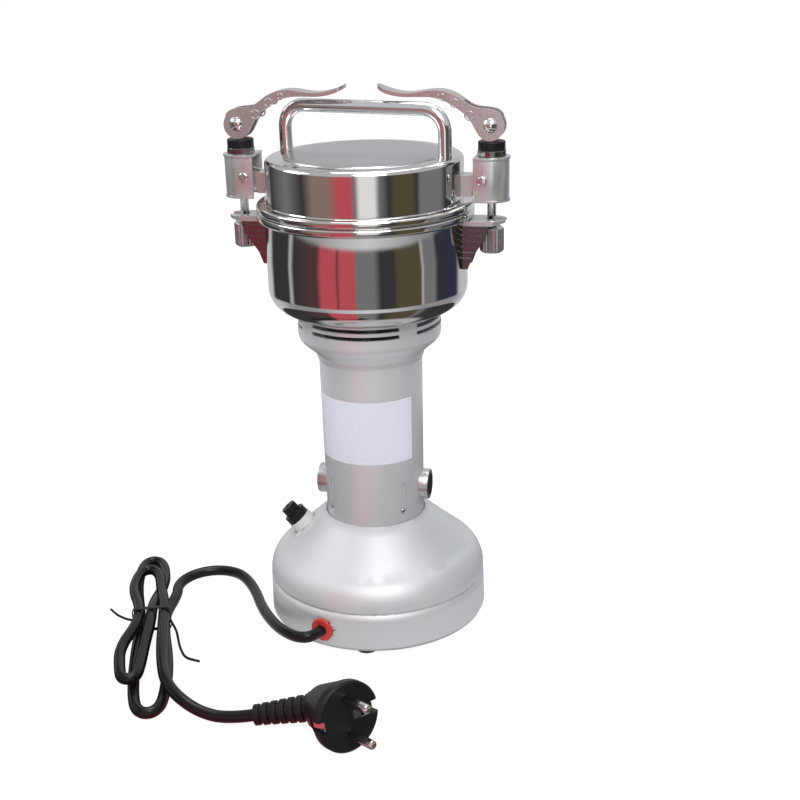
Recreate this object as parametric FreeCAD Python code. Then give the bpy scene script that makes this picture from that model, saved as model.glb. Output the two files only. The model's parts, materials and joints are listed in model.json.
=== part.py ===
import FreeCAD, Part
import math
import os

# Electric grain mill, in millimetres. The origin is under the middle of the feet, on the surface that the
# mill stands on. +Z is up, the two lid clamps lie on the X axis, and the side with the cord faces -Y.
V = FreeCAD.Vector
UP = V(0, 0, 1)
os.makedirs("parts", exist_ok=True)

# Base
base_r = 65.0
foot_h = 3.0
plate_t = 1.6
rim_top_z = 25.7
base_wall = 2.0
shoulder_in = 2.8
shoulder_r = base_r - shoulder_in
shoulder_z = 36.5
dome_in = 9.0
dome_r = base_r - dome_in
dome_z = 42.7
seam_depth = 0.5
seam_h = 0.7
foot_r = 7.0
foot_inset = 9.0
foot_circle_r = base_r - foot_inset
foot_first_deg = 6.0
grommet_deg = -16.4
grommet_z = 14.0
grommet_r = 6.8
fuse_deg = -80.0
switch_deg = 180.0
seat_depth = 7.0
seat_t = 2.5
seat_bore_r = 20.0

# Motor column and its vent head
column_r = 28.9
column_top_r = 29.8
column_bore_r = 27.2
column_top_z = 160.3
dome_top_z = 65.0
foot_gap = 0.5
head_r = 41.0
head_z = 177.0
head_wall = 1.6
slot_deg = 74.0
slot_first_deg = 0.0
slot_rows = ((181.4, 183.6), (185.6, 187.8))
groove_w = 4.6
groove_h = 20.0
groove_z = 69.5
groove_depth = 1.0
groove_degs = (-48.0, 48.0, 132.0, 228.0)
column_screw_r = 1.3

# Bowl and lid
bowl_z = 190.0
bowl_r = 56.3
bowl_wall = 1.2
bowl_corner_r = 14.0
bowl_rim_z = 247.0
rim_bead_h = 4.6
bead_reach = 4.1
bead_r = bowl_r + bead_reach
lid_step = 1.6
lid_r = bowl_r - lid_step
lid_bead_top_z = 251.4
lid_top_z = 275.8
lid_wall = 1.4
lid_corner_r = 3.0
panel_in = 9.7
panel_r = lid_r - panel_in
panel_rise = 0.9

# Carrying handle
handle_turn_deg = -11.5
handle_rod_r = 3.4
handle_in = 7.1
handle_half_span = lid_r - handle_in
handle_z = 301.7
handle_bend_r = 12.0

# Lid clamps, one on each side
rod_out = 14.2
rod_x = bowl_r + rod_out
rod_r = 2.5
rivet_in = 3.9
rivet_x = rod_x - rivet_in
rivet_z = 264.0
rivet_r = 1.2
box_in = 8.9
box_in_x = rod_x - box_in
box_out = 10.5
box_out_x = rod_x + box_out
box_half_w = 9.6
box_wall = 1.6
box_bottom_z = 252.0
box_top_z = 276.0
collar_h = 3.2
collar_r = 7.75
pad_h = 4.8
pivot_z = 292.5
cam_gap = 0.3
cam_drop = 1.2
cam_turn_deg = 120.0
lever_half_w = 5.4
lever_reach = 61.5
cheek_gap = 3.5
cheek_slot = 14.5
pin_r = 2.0
fork_z = 239.0
fork_t = 3.0
fork_r = 8.5
fork_slot = 6.0
fork_ramp = 1.6
nut_r = 6.65
nut_h = 14.0
nut_gap = 1.5
running_fit = 0.08

# Rotor, with its axis on Z
shaft_r = 4.0
air_gap = 0.5
armature_r = 16.6
core_z = 98.0
core_h = 45.0
commutator_r = 11.0
brush_z = 81.5
bearing_r = 11.0
bearing_h = 7.0

# Mains lead
cord_d = 6.5
cord_r = cord_d / 2

parts = {}


def polar(radius, degrees, z=0.0):
    """A point at a radius and a bearing: 0 faces -Y, and positive turns towards +X."""
    angle = math.radians(degrees)
    return V(radius * math.sin(angle), -radius * math.cos(angle), z)


def cyl(radius, height, base, axis=UP):
    return Part.makeCylinder(radius, height, base, axis)


def box(x0, x1, y0, y1, z0, z1):
    return Part.makeBox(x1 - x0, y1 - y0, z1 - z0, V(x0, y0, z0))


def revolve(outline):
    """Turn a closed outline of (radius, z) points round Z. A third value marks the middle point of an arc."""
    edges = []
    start = outline[0]
    index = 1
    closed = list(outline) + [outline[0]]
    while index < len(closed):
        point = closed[index]
        if len(point) == 3:
            end = closed[index + 1]
            arc = Part.Arc(V(start[0], 0, start[1]), V(point[0], 0, point[1]), V(end[0], 0, end[1]))
            edges.append(arc.toShape())
            index += 1
        else:
            end = point
            edges.append(Part.LineSegment(V(start[0], 0, start[1]), V(end[0], 0, end[1])).toShape())
        start = end
        index += 1
    face = Part.Face(Part.Wire(edges))
    return face.revolve(V(0, 0, 0), UP, 360)


def prism(points, height_vector):
    wire = Part.makePolygon(list(points) + [points[0]])
    return Part.Face(wire).extrude(height_vector)


def corner(centre, radius, degrees):
    """The middle point of a round corner, in an outline for revolve."""
    angle = math.radians(degrees)
    return (centre[0] + radius * math.cos(angle), centre[1] + radius * math.sin(angle), 0)


def bored(solid, radius, base, axis, length):
    return solid.cut(cyl(radius, length, base, axis))


def facing(shape, degrees, lean=0.0, origin=V(0, 0, 0)):
    """Place a shape built along +Z so that its Z axis faces out at a bearing, tipped up by lean degrees."""
    angle = math.radians(degrees)
    out = V(math.sin(angle), -math.cos(angle), 0)
    tip = math.radians(lean)
    axis = out * math.cos(tip) + UP * math.sin(tip)
    side = V(math.cos(angle), math.sin(angle), 0)
    top = axis.cross(side)
    matrix = FreeCAD.Matrix(side.x, top.x, axis.x, origin.x, side.y, top.y, axis.y, origin.y,
                            side.z, top.z, axis.z, origin.z, 0, 0, 0, 1)
    placed = shape.copy()
    placed.transformShape(matrix, True)
    return placed


def mirrored(shape):
    return shape.mirror(V(0, 0, 0), V(1, 0, 0))


def keep(name, shape):
    """File a sub-part. A group keeps its separate solids."""
    solids = shape.Solids
    if not solids or not all(solid.isValid() and solid.Volume > 0 for solid in solids):
        raise ValueError(name + " is not a good solid")
    parts[name] = solids[0] if len(solids) == 1 else Part.makeCompound(solids)


# Base shell: a spun shell with an upright rim, a seam, a rounded shoulder and a sunk seat for the column
plate_z = foot_h
shell_z = plate_z + plate_t
neck_r = column_r + foot_gap
seat_z = dome_top_z - seat_depth
slope = math.atan2(dome_top_z - dome_z, dome_r - neck_r - 1.2)
cone_lean = math.degrees(math.pi / 2 - slope)


def cone_z(radius):
    """Height of the straight upper cone at a radius."""
    return dome_z + (dome_r - radius) * math.tan(slope)


inner_r = base_r - base_wall
drop = base_wall / math.cos(slope)
shell = revolve([
    (base_r, shell_z),
    (base_r - 0.4, rim_top_z),
    (base_r - 0.4 - seam_depth, rim_top_z),
    (base_r - 0.4 - seam_depth, rim_top_z + seam_h),
    (base_r - 0.6, rim_top_z + seam_h),
    (shoulder_r, shoulder_z, 0),
    (dome_r, dome_z),
    (neck_r + 1.2, dome_top_z),
    (neck_r, dome_top_z),
    (neck_r, seat_z),
    (seat_bore_r, seat_z),
    (seat_bore_r, seat_z - seat_t),
    (neck_r + base_wall, seat_z - seat_t),
    (neck_r + base_wall, cone_z(neck_r + base_wall) - drop),
    (dome_r, dome_z - drop),
    (inner_r - 0.8, shoulder_z - 5.0),
    (inner_r, rim_top_z),
    (inner_r, shell_z)])

grommet_axis = polar(1, grommet_deg)
grommet_bore_r = 5.2
shell = bored(shell, grommet_bore_r, polar(base_r - 6, grommet_deg, grommet_z), grommet_axis, 12)

# Fuse holder: a grey collar standing square on the cone, with a tube inside the base
fuse_seat_r = 43.5
fuse_origin = polar(fuse_seat_r, fuse_deg, cone_z(fuse_seat_r))
fuse_collar_r = 7.4
fuse_collar_h = 5.0
fuse_tube_r = 5.6
fuse_cap_r = 6.8
fuse_cap_h = 4.6
fuse_grip_r = 4.7
fuse_grip_h = 5.2
fuse_depth = 24.0
fuse_glass_r = 2.5
fuse_glass_l = 20.0
shell = shell.cut(facing(cyl(fuse_tube_r + 0.1, 20, V(0, 0, -14)), fuse_deg, cone_lean, fuse_origin))

collar = cyl(fuse_collar_r, fuse_collar_h + 6, V(0, 0, -6))
collar = collar.fuse(cyl(fuse_tube_r, fuse_depth, V(0, 0, fuse_collar_h - fuse_depth)))
collar = collar.cut(cyl(fuse_glass_r + 1.5, fuse_depth, V(0, 0, fuse_collar_h - fuse_depth + 1.5)))
holder = facing(collar, fuse_deg, cone_lean, fuse_origin)

cap = cyl(fuse_cap_r, fuse_cap_h, V(0, 0, fuse_collar_h + 0.2))
grip = cyl(fuse_grip_r, fuse_grip_h, V(0, 0, fuse_collar_h + 0.2 + fuse_cap_h))
for turn in range(8):
    angle = math.radians(45 * turn)
    notch = cyl(0.8, fuse_grip_h, V(fuse_grip_r * 1.06 * math.cos(angle), fuse_grip_r * 1.06 * math.sin(angle),
                                    fuse_collar_h + 0.2 + fuse_cap_h + 0.6))
    grip = grip.cut(notch)
slot_cut = box(-3.2, 3.2, -0.6, 0.6, fuse_collar_h + fuse_cap_h + fuse_grip_h - 0.8,
               fuse_collar_h + fuse_cap_h + fuse_grip_h + 1)
grip = grip.cut(slot_cut)
plunger = cyl(fuse_glass_r + 1.2, 4.0, V(0, 0, fuse_collar_h - 3.8)).cut(
    cyl(fuse_glass_r + 0.05, 3.0, V(0, 0, fuse_collar_h - 3.8)))
keep("fuse_cap", facing(cap.fuse([grip, plunger]), fuse_deg, cone_lean, fuse_origin))
fuse_top = fuse_collar_h - 3.8 + 2.9
keep("fuse", facing(cyl(fuse_glass_r, fuse_glass_l, V(0, 0, fuse_top - fuse_glass_l)), fuse_deg, cone_lean,
                    fuse_origin))

# Rocker switch on the far side, in a flat formed in the cone
switch_seat_r = 48.0
switch_origin = polar(switch_seat_r, switch_deg, cone_z(switch_seat_r))
switch_w = 21.0
switch_h = 15.0
switch_frame_t = 2.0
switch_flat = 1.6
switch_depth = 14.0
rocker_tip_deg = 8.0
rocker_w = switch_w - 6.4
rocker_h = switch_h - 4.4
flat_land = box(-switch_w / 2 - 1.5, switch_w / 2 + 1.5, -switch_h / 2 - 1.5, switch_h / 2 + 1.5, -4, switch_flat)
body_hole = box(-switch_w / 2 + 1, switch_w / 2 - 1, -switch_h / 2 + 1, switch_h / 2 - 1, -12, switch_flat + 1)
land = facing(flat_land, switch_deg, cone_lean, switch_origin)
hollow = revolve([
    (0, shell_z), (inner_r, shell_z), (inner_r, rim_top_z), (inner_r - 0.8, shoulder_z - 5.0),
    (dome_r, dome_z - drop), (neck_r + base_wall, cone_z(neck_r + base_wall) - drop),
    (neck_r + base_wall, seat_z - seat_t - 1), (0, seat_z - seat_t - 1)])
shell = shell.fuse(land.cut(hollow)).cut(facing(body_hole, switch_deg, cone_lean, switch_origin))
shell = shell.cut(facing(cyl(fuse_collar_r, fuse_collar_h + 6, V(0, 0, -6)), fuse_deg, cone_lean, fuse_origin))
keep("base_shell", shell.removeSplitter())
keep("fuse_holder", holder)

frame = box(-switch_w / 2, switch_w / 2, -switch_h / 2, switch_h / 2, switch_flat, switch_flat + switch_frame_t)
frame = frame.makeFillet(0.8, [edge for edge in frame.Edges if edge.BoundBox.ZMin > switch_flat + 1.5])
frame = frame.fuse(box(-switch_w / 2 + 1.2, switch_w / 2 - 1.2, -switch_h / 2 + 1.2, switch_h / 2 - 1.2,
                       switch_flat - switch_depth, switch_flat))
pocket = box(-rocker_w / 2 - 0.3, rocker_w / 2 + 0.3, -rocker_h / 2 - 0.3, rocker_h / 2 + 0.3,
             switch_flat - 6, switch_flat + switch_frame_t + 1)
rocker_axis_z = switch_flat - 0.6
trunnion_r = 1.2
trunnion_reach = 0.9
trunnion_start = V(0, -rocker_h / 2 - trunnion_reach, rocker_axis_z)
trunnion_l = rocker_h + 2 * trunnion_reach
frame = frame.cut(pocket).cut(cyl(trunnion_r + 0.05, trunnion_l + 0.2, trunnion_start - V(0, 0.1, 0), V(0, 1, 0)))
keep("switch_frame", facing(frame, switch_deg, cone_lean, switch_origin))
rocker_arm = rocker_w / 2 / math.cos(math.radians(rocker_tip_deg)) - 0.25
crown = rocker_axis_z + 4.4
ridge = 1.6
rocker = prism([V(-rocker_arm, -rocker_h / 2, rocker_axis_z - 0.6), V(rocker_arm, -rocker_h / 2, rocker_axis_z - 0.6),
                V(rocker_arm - 0.5, -rocker_h / 2, crown), V(0, -rocker_h / 2, crown - ridge),
                V(-rocker_arm + 0.5, -rocker_h / 2, crown)], V(0, rocker_h, 0))
rocker = rocker.cut(box(-rocker_arm - 1, -rocker_arm + 0.6, -rocker_h, rocker_h, rocker_axis_z - 4, rocker_axis_z - 0.3))
rocker = rocker.fuse(cyl(trunnion_r, trunnion_l, trunnion_start, V(0, 1, 0)))
rocker.rotate(V(0, 0, rocker_axis_z), V(0, 1, 0), -rocker_tip_deg)
keep("switch_rocker", facing(rocker, switch_deg, cone_lean, switch_origin))

# Base plate, its screws and the four rubber feet
plate = cyl(base_r - 0.8, plate_t, V(0, 0, plate_z))
feet = []
screws = []
screw_r = 1.6
for turn in range(4):
    where = polar(foot_circle_r, foot_first_deg + 90 * turn)
    foot = Part.makeCone(foot_r - 0.9, foot_r, foot_h, where)
    foot = bored(foot, 3.4, where, UP, 1.8)
    feet.append(bored(foot, screw_r + 0.1, where, UP, foot_h))
    plate = bored(plate, screw_r + 0.1, where, UP, 10)
    screws.append(cyl(3.2, 1.3, where + V(0, 0, 0.5)).fuse(cyl(screw_r, plate_t + 5, where + V(0, 0, 1.8))))
keep("base_plate", plate)
keep("feet", Part.makeCompound([foot.cut(screw) for foot, screw in zip(feet, screws)]))
keep("base_screws", Part.makeCompound(screws))

# Cord grommet in the rim
grommet_flange_t = 1.8
grommet = cyl(grommet_r, grommet_flange_t, V(0, 0, base_r + 0.05))
grommet = grommet.makeFillet(0.7, [edge for edge in grommet.Edges if edge.BoundBox.ZMin > base_r + 1])
grommet = grommet.fuse([cyl(grommet_bore_r - 0.05, base_wall + 1.2, V(0, 0, base_r - base_wall - 1.1)),
                        cyl(grommet_r, 1.6, V(0, 0, base_r - base_wall - 2.7))])
grommet = grommet.cut(cyl(cord_r, 12, V(0, 0, base_r - 6)))
keep("cord_grommet", facing(grommet, grommet_deg, 0, V(0, 0, grommet_z)))

# Motor column: a tapered tube that stands on the seat, flares out and ends in the slotted vent head
head_top_z = bowl_z
column = revolve([
    (column_r, seat_z),
    (column_top_r, column_top_z),
    (column_top_r + 0.9, column_top_z + 1.4),
    (column_top_r + 1.3, 164.2),
    (34.6, 168.0, 0),
    (38.8, 171.6),
    (40.4, 173.8, 0),
    (head_r, head_z),
    (head_r, head_top_z - 1.2),
    (head_r - 0.4, head_top_z - 0.4, 0),
    (head_r - 1.2, head_top_z),
    (18.0, head_top_z),
    (18.0, head_top_z - 1.4),
    (head_r - head_wall, head_top_z - 1.4),
    (head_r - head_wall, head_z + 0.5),
    (37.0, 172.6),
    (33.0, 169.2),
    (column_bore_r, 164.6),
    (column_bore_r, seat_z)])
slot_cutters = []
for low_z, high_z in slot_rows:
    for turn in range(4):
        wedge = Part.makeCylinder(head_r + 5, high_z - low_z, V(0, 0, low_z), UP, slot_deg)
        wedge = wedge.cut(cyl(head_r - head_wall - 1.0, high_z - low_z, V(0, 0, low_z)))
        wedge.rotate(V(0, 0, 0), UP, -90 - slot_deg / 2 + slot_first_deg + 90 * turn)
        slot_cutters.append(wedge)
column_screws = []
for degrees in groove_degs:
    groove = box(-groove_w / 2, groove_w / 2, -column_r - 4, -column_r + groove_depth, groove_z, groove_z + groove_h)
    groove = groove.makeFillet(groove_w / 2 - 0.05, [edge for edge in groove.Edges if edge.BoundBox.YLength > 4
                                                    and edge.BoundBox.XLength < 0.1 and edge.BoundBox.ZLength < 0.1])
    groove.rotate(V(0, 0, 0), UP, degrees)
    slot_cutters.append(groove)
    screw_z = groove_z + groove_w / 2
    screw = cyl(column_screw_r, 0.9, polar(column_r - groove_depth, degrees, screw_z), polar(1, degrees))
    column_screws.append(screw)
brush_boss_r = 9.0
brush_boss_out = 33.6
brush_hole_r = 6.7
for side in (-1, 1):
    boss = cyl(brush_boss_r, brush_boss_out - column_bore_r, V(side * column_bore_r, 0, brush_z), V(side, 0, 0))
    boss = boss.makeFillet(0.8, [edge for edge in boss.Edges if abs(edge.BoundBox.XMin + edge.BoundBox.XMax) > 66])
    column = column.fuse(boss.cut(cyl(column_bore_r, 60, V(0, 0, seat_z))))
    slot_cutters.append(cyl(brush_hole_r, 20, V(side * 20, 0, brush_z), V(side, 0, 0)))
column = column.cut(Part.makeCompound(slot_cutters))
keep("column_screws", Part.makeCompound(column_screws))

# End bells, bearings, stator and field coils, all inside the column
lower_bell_r = column_bore_r - 0.15
lower_bearing_z = seat_z + 4.0
lower_bell = revolve([(5.0, seat_z), (lower_bell_r, seat_z), (lower_bell_r, seat_z + 3.0), (14.0, seat_z + 3.0),
                      (14.0, lower_bearing_z + bearing_h), (bearing_r, lower_bearing_z + bearing_h),
                      (bearing_r, lower_bearing_z), (5.0, lower_bearing_z)])
for turn in range(3):
    window = Part.makeCylinder(lower_bell_r - 4, 10, V(0, 0, seat_z - 1), UP, 70).cut(cyl(16.5, 12, V(0, 0, seat_z - 2)))
    window.rotate(V(0, 0, 0), UP, 120 * turn)
    lower_bell = lower_bell.cut(window)
keep("lower_end_bell", lower_bell)
upper_bearing_z = bowl_z - 1.4 - 9.0
upper_bell = revolve([(shaft_r + 1.5, upper_bearing_z - 1.6), (13.6, upper_bearing_z - 1.6), (13.6, bowl_z - 4.0),
                      (26.0, bowl_z - 4.0), (26.0, bowl_z - 1.4), (bearing_r, bowl_z - 1.4),
                      (bearing_r, upper_bearing_z), (shaft_r + 1.5, upper_bearing_z)])
bearings = []
for low_z in (lower_bearing_z, upper_bearing_z):
    bearings.append(revolve([(shaft_r + running_fit, low_z), (bearing_r - 0.02, low_z),
                             (bearing_r - 0.02, low_z + bearing_h), (shaft_r + running_fit, low_z + bearing_h)]))
keep("motor_bearings", Part.makeCompound(bearings))

stator_bore_r = armature_r + air_gap
stator = revolve([(stator_bore_r, core_z), (column_bore_r - 0.1, core_z), (column_bore_r - 0.1, core_z + core_h),
                  (stator_bore_r, core_z + core_h)])
coil_window_deg = 34.0
windows = []
for side in (0, 180):
    for edge in (-62, 62):
        window = Part.makeCylinder(24.4, core_h + 2, V(0, 0, core_z - 1), UP, coil_window_deg)
        window = window.cut(cyl(18.6, core_h + 4, V(0, 0, core_z - 2)))
        window.rotate(V(0, 0, 0), UP, side + edge - coil_window_deg / 2)
        windows.append(window)
stator = stator.cut(Part.makeCompound(windows))
keep("stator_core", stator)
coil_reach = 7.0
coils = []
for side in (0, 180):
    low, high = core_z - coil_reach, core_z + core_h + coil_reach
    ring = Part.makeCylinder(24.0, high - low, V(0, 0, low), UP, 2 * 62 + coil_window_deg - 6)
    ring = ring.cut(cyl(19.0, high - low + 2, V(0, 0, low - 1)))
    ring.rotate(V(0, 0, 0), UP, side - 62 - coil_window_deg / 2 + 3)
    pole = Part.makeCylinder(30, core_h + 2, V(0, 0, core_z - 1), UP, 2 * 62 - coil_window_deg + 6)
    pole.rotate(V(0, 0, 0), UP, side - 62 + coil_window_deg / 2 - 3)
    coils.append(ring.cut(pole))
keep("field_coils", Part.makeCompound(coils))

# Brush gear, once on each side
brush_half = 2.5
tube_in = commutator_r + 1.2
tube_out = 30.0
holders, caps, brushes, springs = [], [], [], []
for side in (-1, 1):
    out = V(side, 0, 0)
    tube = cyl(4.6, tube_out - tube_in, V(side * tube_in, 0, brush_z), out)
    tube = tube.fuse(cyl(brush_hole_r - 0.1, 3.0, V(side * (tube_out - 3.0), 0, brush_z), out))
    holders.append(tube.cut(cyl(3.7, 40, V(side * 5, 0, brush_z), out)))
    x_ends = sorted((side * (commutator_r + 0.25), side * 22.0))
    brush = box(x_ends[0], x_ends[1], -brush_half, brush_half, brush_z - brush_half, brush_z + brush_half)
    brushes.append(brush.cut(cyl(commutator_r + 0.15, 20, V(0, 0, brush_z - 10))))
    springs.append(cyl(2.2, 7.8, V(side * 22.1, 0, brush_z), out).cut(cyl(1.5, 9, V(side * 21.5, 0, brush_z), out)))
    cap = cyl(brush_hole_r - 0.12, 4.0, V(side * (tube_out + 0.05), 0, brush_z), out)
    cap = cap.makeFillet(0.6, [edge for edge in cap.Edges if abs(edge.BoundBox.XMin + edge.BoundBox.XMax) > 67.5])
    slot_x = sorted((side * 33.0, side * 36.0))
    caps.append(cap.cut(box(slot_x[0], slot_x[1], -8, 8, brush_z - 0.7, brush_z + 0.7)))
keep("brush_holders", Part.makeCompound(holders))
keep("carbon_brushes", Part.makeCompound(brushes))
keep("brush_springs", Part.makeCompound(springs))
keep("brush_caps", Part.makeCompound(caps))

# Rotor: shaft, wound armature, commutator, fan, and the two blades in the bowl
shaft_foot_z = seat_z + 2.0
blade_seat_z = 198.5
thread_r = 3.4
blade_t = 2.0
spacer_h = 8.0
spacer_r = 7.0
blade_nut_h = 6.5
blade_reach = 50.5
upper_reach = 46.0
upper_bend = 25.0
upper_blade_z = blade_seat_z + blade_t + spacer_h
shaft_top_z = upper_blade_z + blade_t + 5.5
keep("rotor_shaft", revolve([(0, shaft_foot_z), (shaft_r - 0.6, shaft_foot_z), (shaft_r, shaft_foot_z + 0.6),
                             (shaft_r, blade_seat_z), (thread_r, blade_seat_z), (thread_r, shaft_top_z - 0.6),
                             (thread_r - 0.6, shaft_top_z), (0, shaft_top_z)]))

slot_count = 12
slot_depth = 5.0
slot_w = 3.0
core = cyl(armature_r, core_h, V(0, 0, core_z))
winding_r = armature_r - 1.6
end_turns = 8.0
bars = []
slots = []
for turn in range(slot_count):
    cut = box(armature_r - slot_depth, armature_r + 1, -slot_w / 2, slot_w / 2, core_z - 1, core_z + core_h + 1)
    cut.rotate(V(0, 0, 0), UP, 360 / slot_count * turn)
    slots.append(cut)
    bar = box(armature_r - slot_depth + 0.1, winding_r, -slot_w / 2 + 0.1, slot_w / 2 - 0.1, core_z - 1,
              core_z + core_h + 1)
    bar.rotate(V(0, 0, 0), UP, 360 / slot_count * turn)
    bars.append(bar)
core = core.cut(Part.makeCompound(slots)).cut(cyl(shaft_r, core_h, V(0, 0, core_z)))
keep("armature_core", core)
lower_turns = revolve([(shaft_r + 1.5, core_z), (shaft_r + 1.5, core_z - end_turns), (winding_r - 3, core_z - end_turns),
                       (winding_r, core_z - end_turns + 3), (winding_r, core_z)])
upper_turns = revolve([(shaft_r + 1.5, core_z + core_h), (shaft_r + 1.5, core_z + core_h + end_turns),
                       (winding_r - 3, core_z + core_h + end_turns), (winding_r, core_z + core_h + end_turns - 3),
                       (winding_r, core_z + core_h)])
keep("armature_windings", lower_turns.fuse([upper_turns] + bars))

commutator_z = brush_z - 6.5
commutator_h = 14.0
commutator = revolve([(shaft_r, commutator_z), (commutator_r, commutator_z), (commutator_r, commutator_z + 12.4),
                      (commutator_r + 1.2, commutator_z + 12.4), (commutator_r + 1.2, commutator_z + commutator_h),
                      (shaft_r, commutator_z + commutator_h)])
gaps = []
for turn in range(slot_count):
    gap = box(commutator_r - 0.8, commutator_r + 2, -0.3, 0.3, commutator_z - 1, commutator_z + commutator_h + 1)
    gap.rotate(V(0, 0, 0), UP, 360 / slot_count * (turn + 0.5))
    gaps.append(gap)
keep("commutator", commutator.cut(Part.makeCompound(gaps)))

fan_gap = 1.3
fan_r = 28.5
fan_h = 9.2
fan_z = upper_bearing_z - 1.6 - fan_gap - fan_h
fan_vanes = 9
fan = revolve([(shaft_r, fan_z), (fan_r, fan_z), (fan_r, fan_z + 1.2), (9.0, fan_z + 1.2), (8.0, fan_z + fan_h),
               (shaft_r, fan_z + fan_h)])
for turn in range(fan_vanes):
    vane = box(7.0, fan_r - 0.5, -0.7, 0.7, fan_z + 0.6, fan_z + fan_h)
    vane.rotate(V(7.0, 0, 0), UP, 20)
    vane = vane.common(cyl(fan_r - 0.3, 30, V(0, 0, fan_z)))
    vane.rotate(V(0, 0, 0), UP, 360 / fan_vanes * turn)
    fan = fan.fuse(vane)
keep("cooling_fan", fan.cut(cyl(shaft_r, fan_h + 1, V(0, 0, fan_z))))


def curved_arm(reach, root_w, tip_w, sweep_deg, low_z):
    """One blade arm that sweeps back along its length, drawn between two smooth edges."""
    leading, trailing = [], []
    steps = 5
    for step in range(steps + 1):
        share = step / steps
        radius = 5.0 + (reach - 5.0) * share
        angle = math.radians(sweep_deg) * share ** 1.5
        half = (root_w + (tip_w - root_w) * share) / 2
        along = V(math.cos(angle), math.sin(angle), 0)
        across = V(-math.sin(angle), math.cos(angle), 0)
        leading.append(along * radius + across * half)
        trailing.append(along * radius - across * half)
    front, back = Part.BSplineCurve(), Part.BSplineCurve()
    front.interpolate(leading)
    back.interpolate(trailing)
    edges = [front.toShape(), Part.LineSegment(leading[-1], trailing[-1]).toShape(), back.toShape(),
             Part.LineSegment(trailing[0], leading[0]).toShape()]
    arm = Part.Face(Part.Wire(Part.__sortEdges__(edges))).extrude(V(0, 0, blade_t))
    arm.translate(V(0, 0, low_z))
    return arm


hub = cyl(9.0, blade_t, V(0, 0, blade_seat_z))
lower_blade = hub
for turn in (0, 180):
    arm = curved_arm(blade_reach, 15.0, 7.0, 38.0, blade_seat_z)
    arm.rotate(V(0, 0, 0), UP, turn)
    lower_blade = lower_blade.fuse(arm)
keep("lower_blade", lower_blade.cut(cyl(thread_r, 10, V(0, 0, blade_seat_z - 1))).removeSplitter())
keep("blade_spacer", cyl(spacer_r, spacer_h, V(0, 0, blade_seat_z + blade_t)).cut(
    cyl(thread_r, spacer_h, V(0, 0, blade_seat_z + blade_t))))
upper_blade = cyl(9.0, blade_t, V(0, 0, upper_blade_z))
elbow = 20.0
for turn in (90, 270):
    flat_arm = box(0, elbow, -6.0, 6.0, upper_blade_z, upper_blade_z + blade_t)
    rise = (upper_reach - elbow) * math.tan(math.radians(upper_bend))
    wing = prism([V(elbow, -6.0, upper_blade_z), V(upper_reach, -6.0, upper_blade_z + rise),
                  V(upper_reach, -6.0, upper_blade_z + rise + blade_t), V(elbow, -6.0, upper_blade_z + blade_t)],
                 V(0, 12.0, 0))
    trim = prism([V(elbow, -7, 0), V(upper_reach + 1, -7, 0), V(upper_reach + 1, 0.5, 0)], V(0, 0, 300))
    arm = flat_arm.fuse(wing.cut(trim))
    arm.rotate(V(0, 0, 0), UP, turn)
    upper_blade = upper_blade.fuse(arm)
keep("upper_blade", upper_blade.cut(cyl(thread_r, 60, V(0, 0, upper_blade_z - 1))).removeSplitter())
nut_half = 5.5
hexagon = [V(nut_half / math.cos(math.pi / 6) * math.cos(math.radians(60 * turn)),
             nut_half / math.cos(math.pi / 6) * math.sin(math.radians(60 * turn)), 0) for turn in range(6)]
blade_nut = prism(hexagon, V(0, 0, blade_nut_h))
blade_nut.translate(V(0, 0, upper_blade_z + blade_t))
keep("blade_nut", blade_nut.cut(cyl(thread_r, 5.8, V(0, 0, upper_blade_z + blade_t))))

# Bowl, its screws and the shaft seal in its floor
seal_body_r = 10.9
seal_flange_r = 17.0
floor_z = bowl_z + bowl_wall
corner_c = (bowl_r - bowl_corner_r, bowl_z + bowl_corner_r)
in_corner_r = bowl_corner_r - bowl_wall
bead_low_z = bowl_rim_z - rim_bead_h
bead_edge = 1.6
bowl = revolve([
    (seal_body_r + 0.05, bowl_z),
    (corner_c[0], bowl_z),
    corner(corner_c, bowl_corner_r, -45),
    (bowl_r, corner_c[1]),
    (bowl_r, bead_low_z),
    (bead_r - bead_edge, bead_low_z),
    corner((bead_r - bead_edge, bead_low_z + bead_edge), bead_edge, -45),
    (bead_r, bead_low_z + bead_edge),
    (bead_r, bowl_rim_z - bead_edge),
    corner((bead_r - bead_edge, bowl_rim_z - bead_edge), bead_edge, 45),
    (bead_r - bead_edge, bowl_rim_z),
    (bowl_r - bowl_wall, bowl_rim_z),
    (bowl_r - bowl_wall, corner_c[1]),
    corner(corner_c, in_corner_r, -45),
    (corner_c[0], floor_z),
    (seal_body_r + 0.05, floor_z)])
bowl_screw_circle = 22.0
bowl_screws = []
for turn in range(3):
    where = polar(bowl_screw_circle, 30 + 120 * turn)
    bowl_screws.append(cyl(3.4, 1.8, where + V(0, 0, floor_z)).fuse(cyl(1.7, 8.0, where + V(0, 0, floor_z - 8.0))))
screw_group = Part.makeCompound(bowl_screws)
keep("bowl_screws", screw_group)
keep("bowl", bowl.cut(screw_group))
keep("motor_column", column.cut(screw_group))
keep("upper_end_bell", upper_bell.cut(screw_group))
seal_top_z = blade_seat_z - 1.5
seal = revolve([(shaft_r + 0.25, bowl_z - 3.0), (seal_body_r, bowl_z - 3.0), (seal_body_r, floor_z),
                (seal_flange_r, floor_z), (seal_flange_r, floor_z + 1.0), (9.5, floor_z + 2.6),
                (8.0, seal_top_z), (shaft_r + 0.25, seal_top_z)])
keep("shaft_seal", seal)

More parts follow.
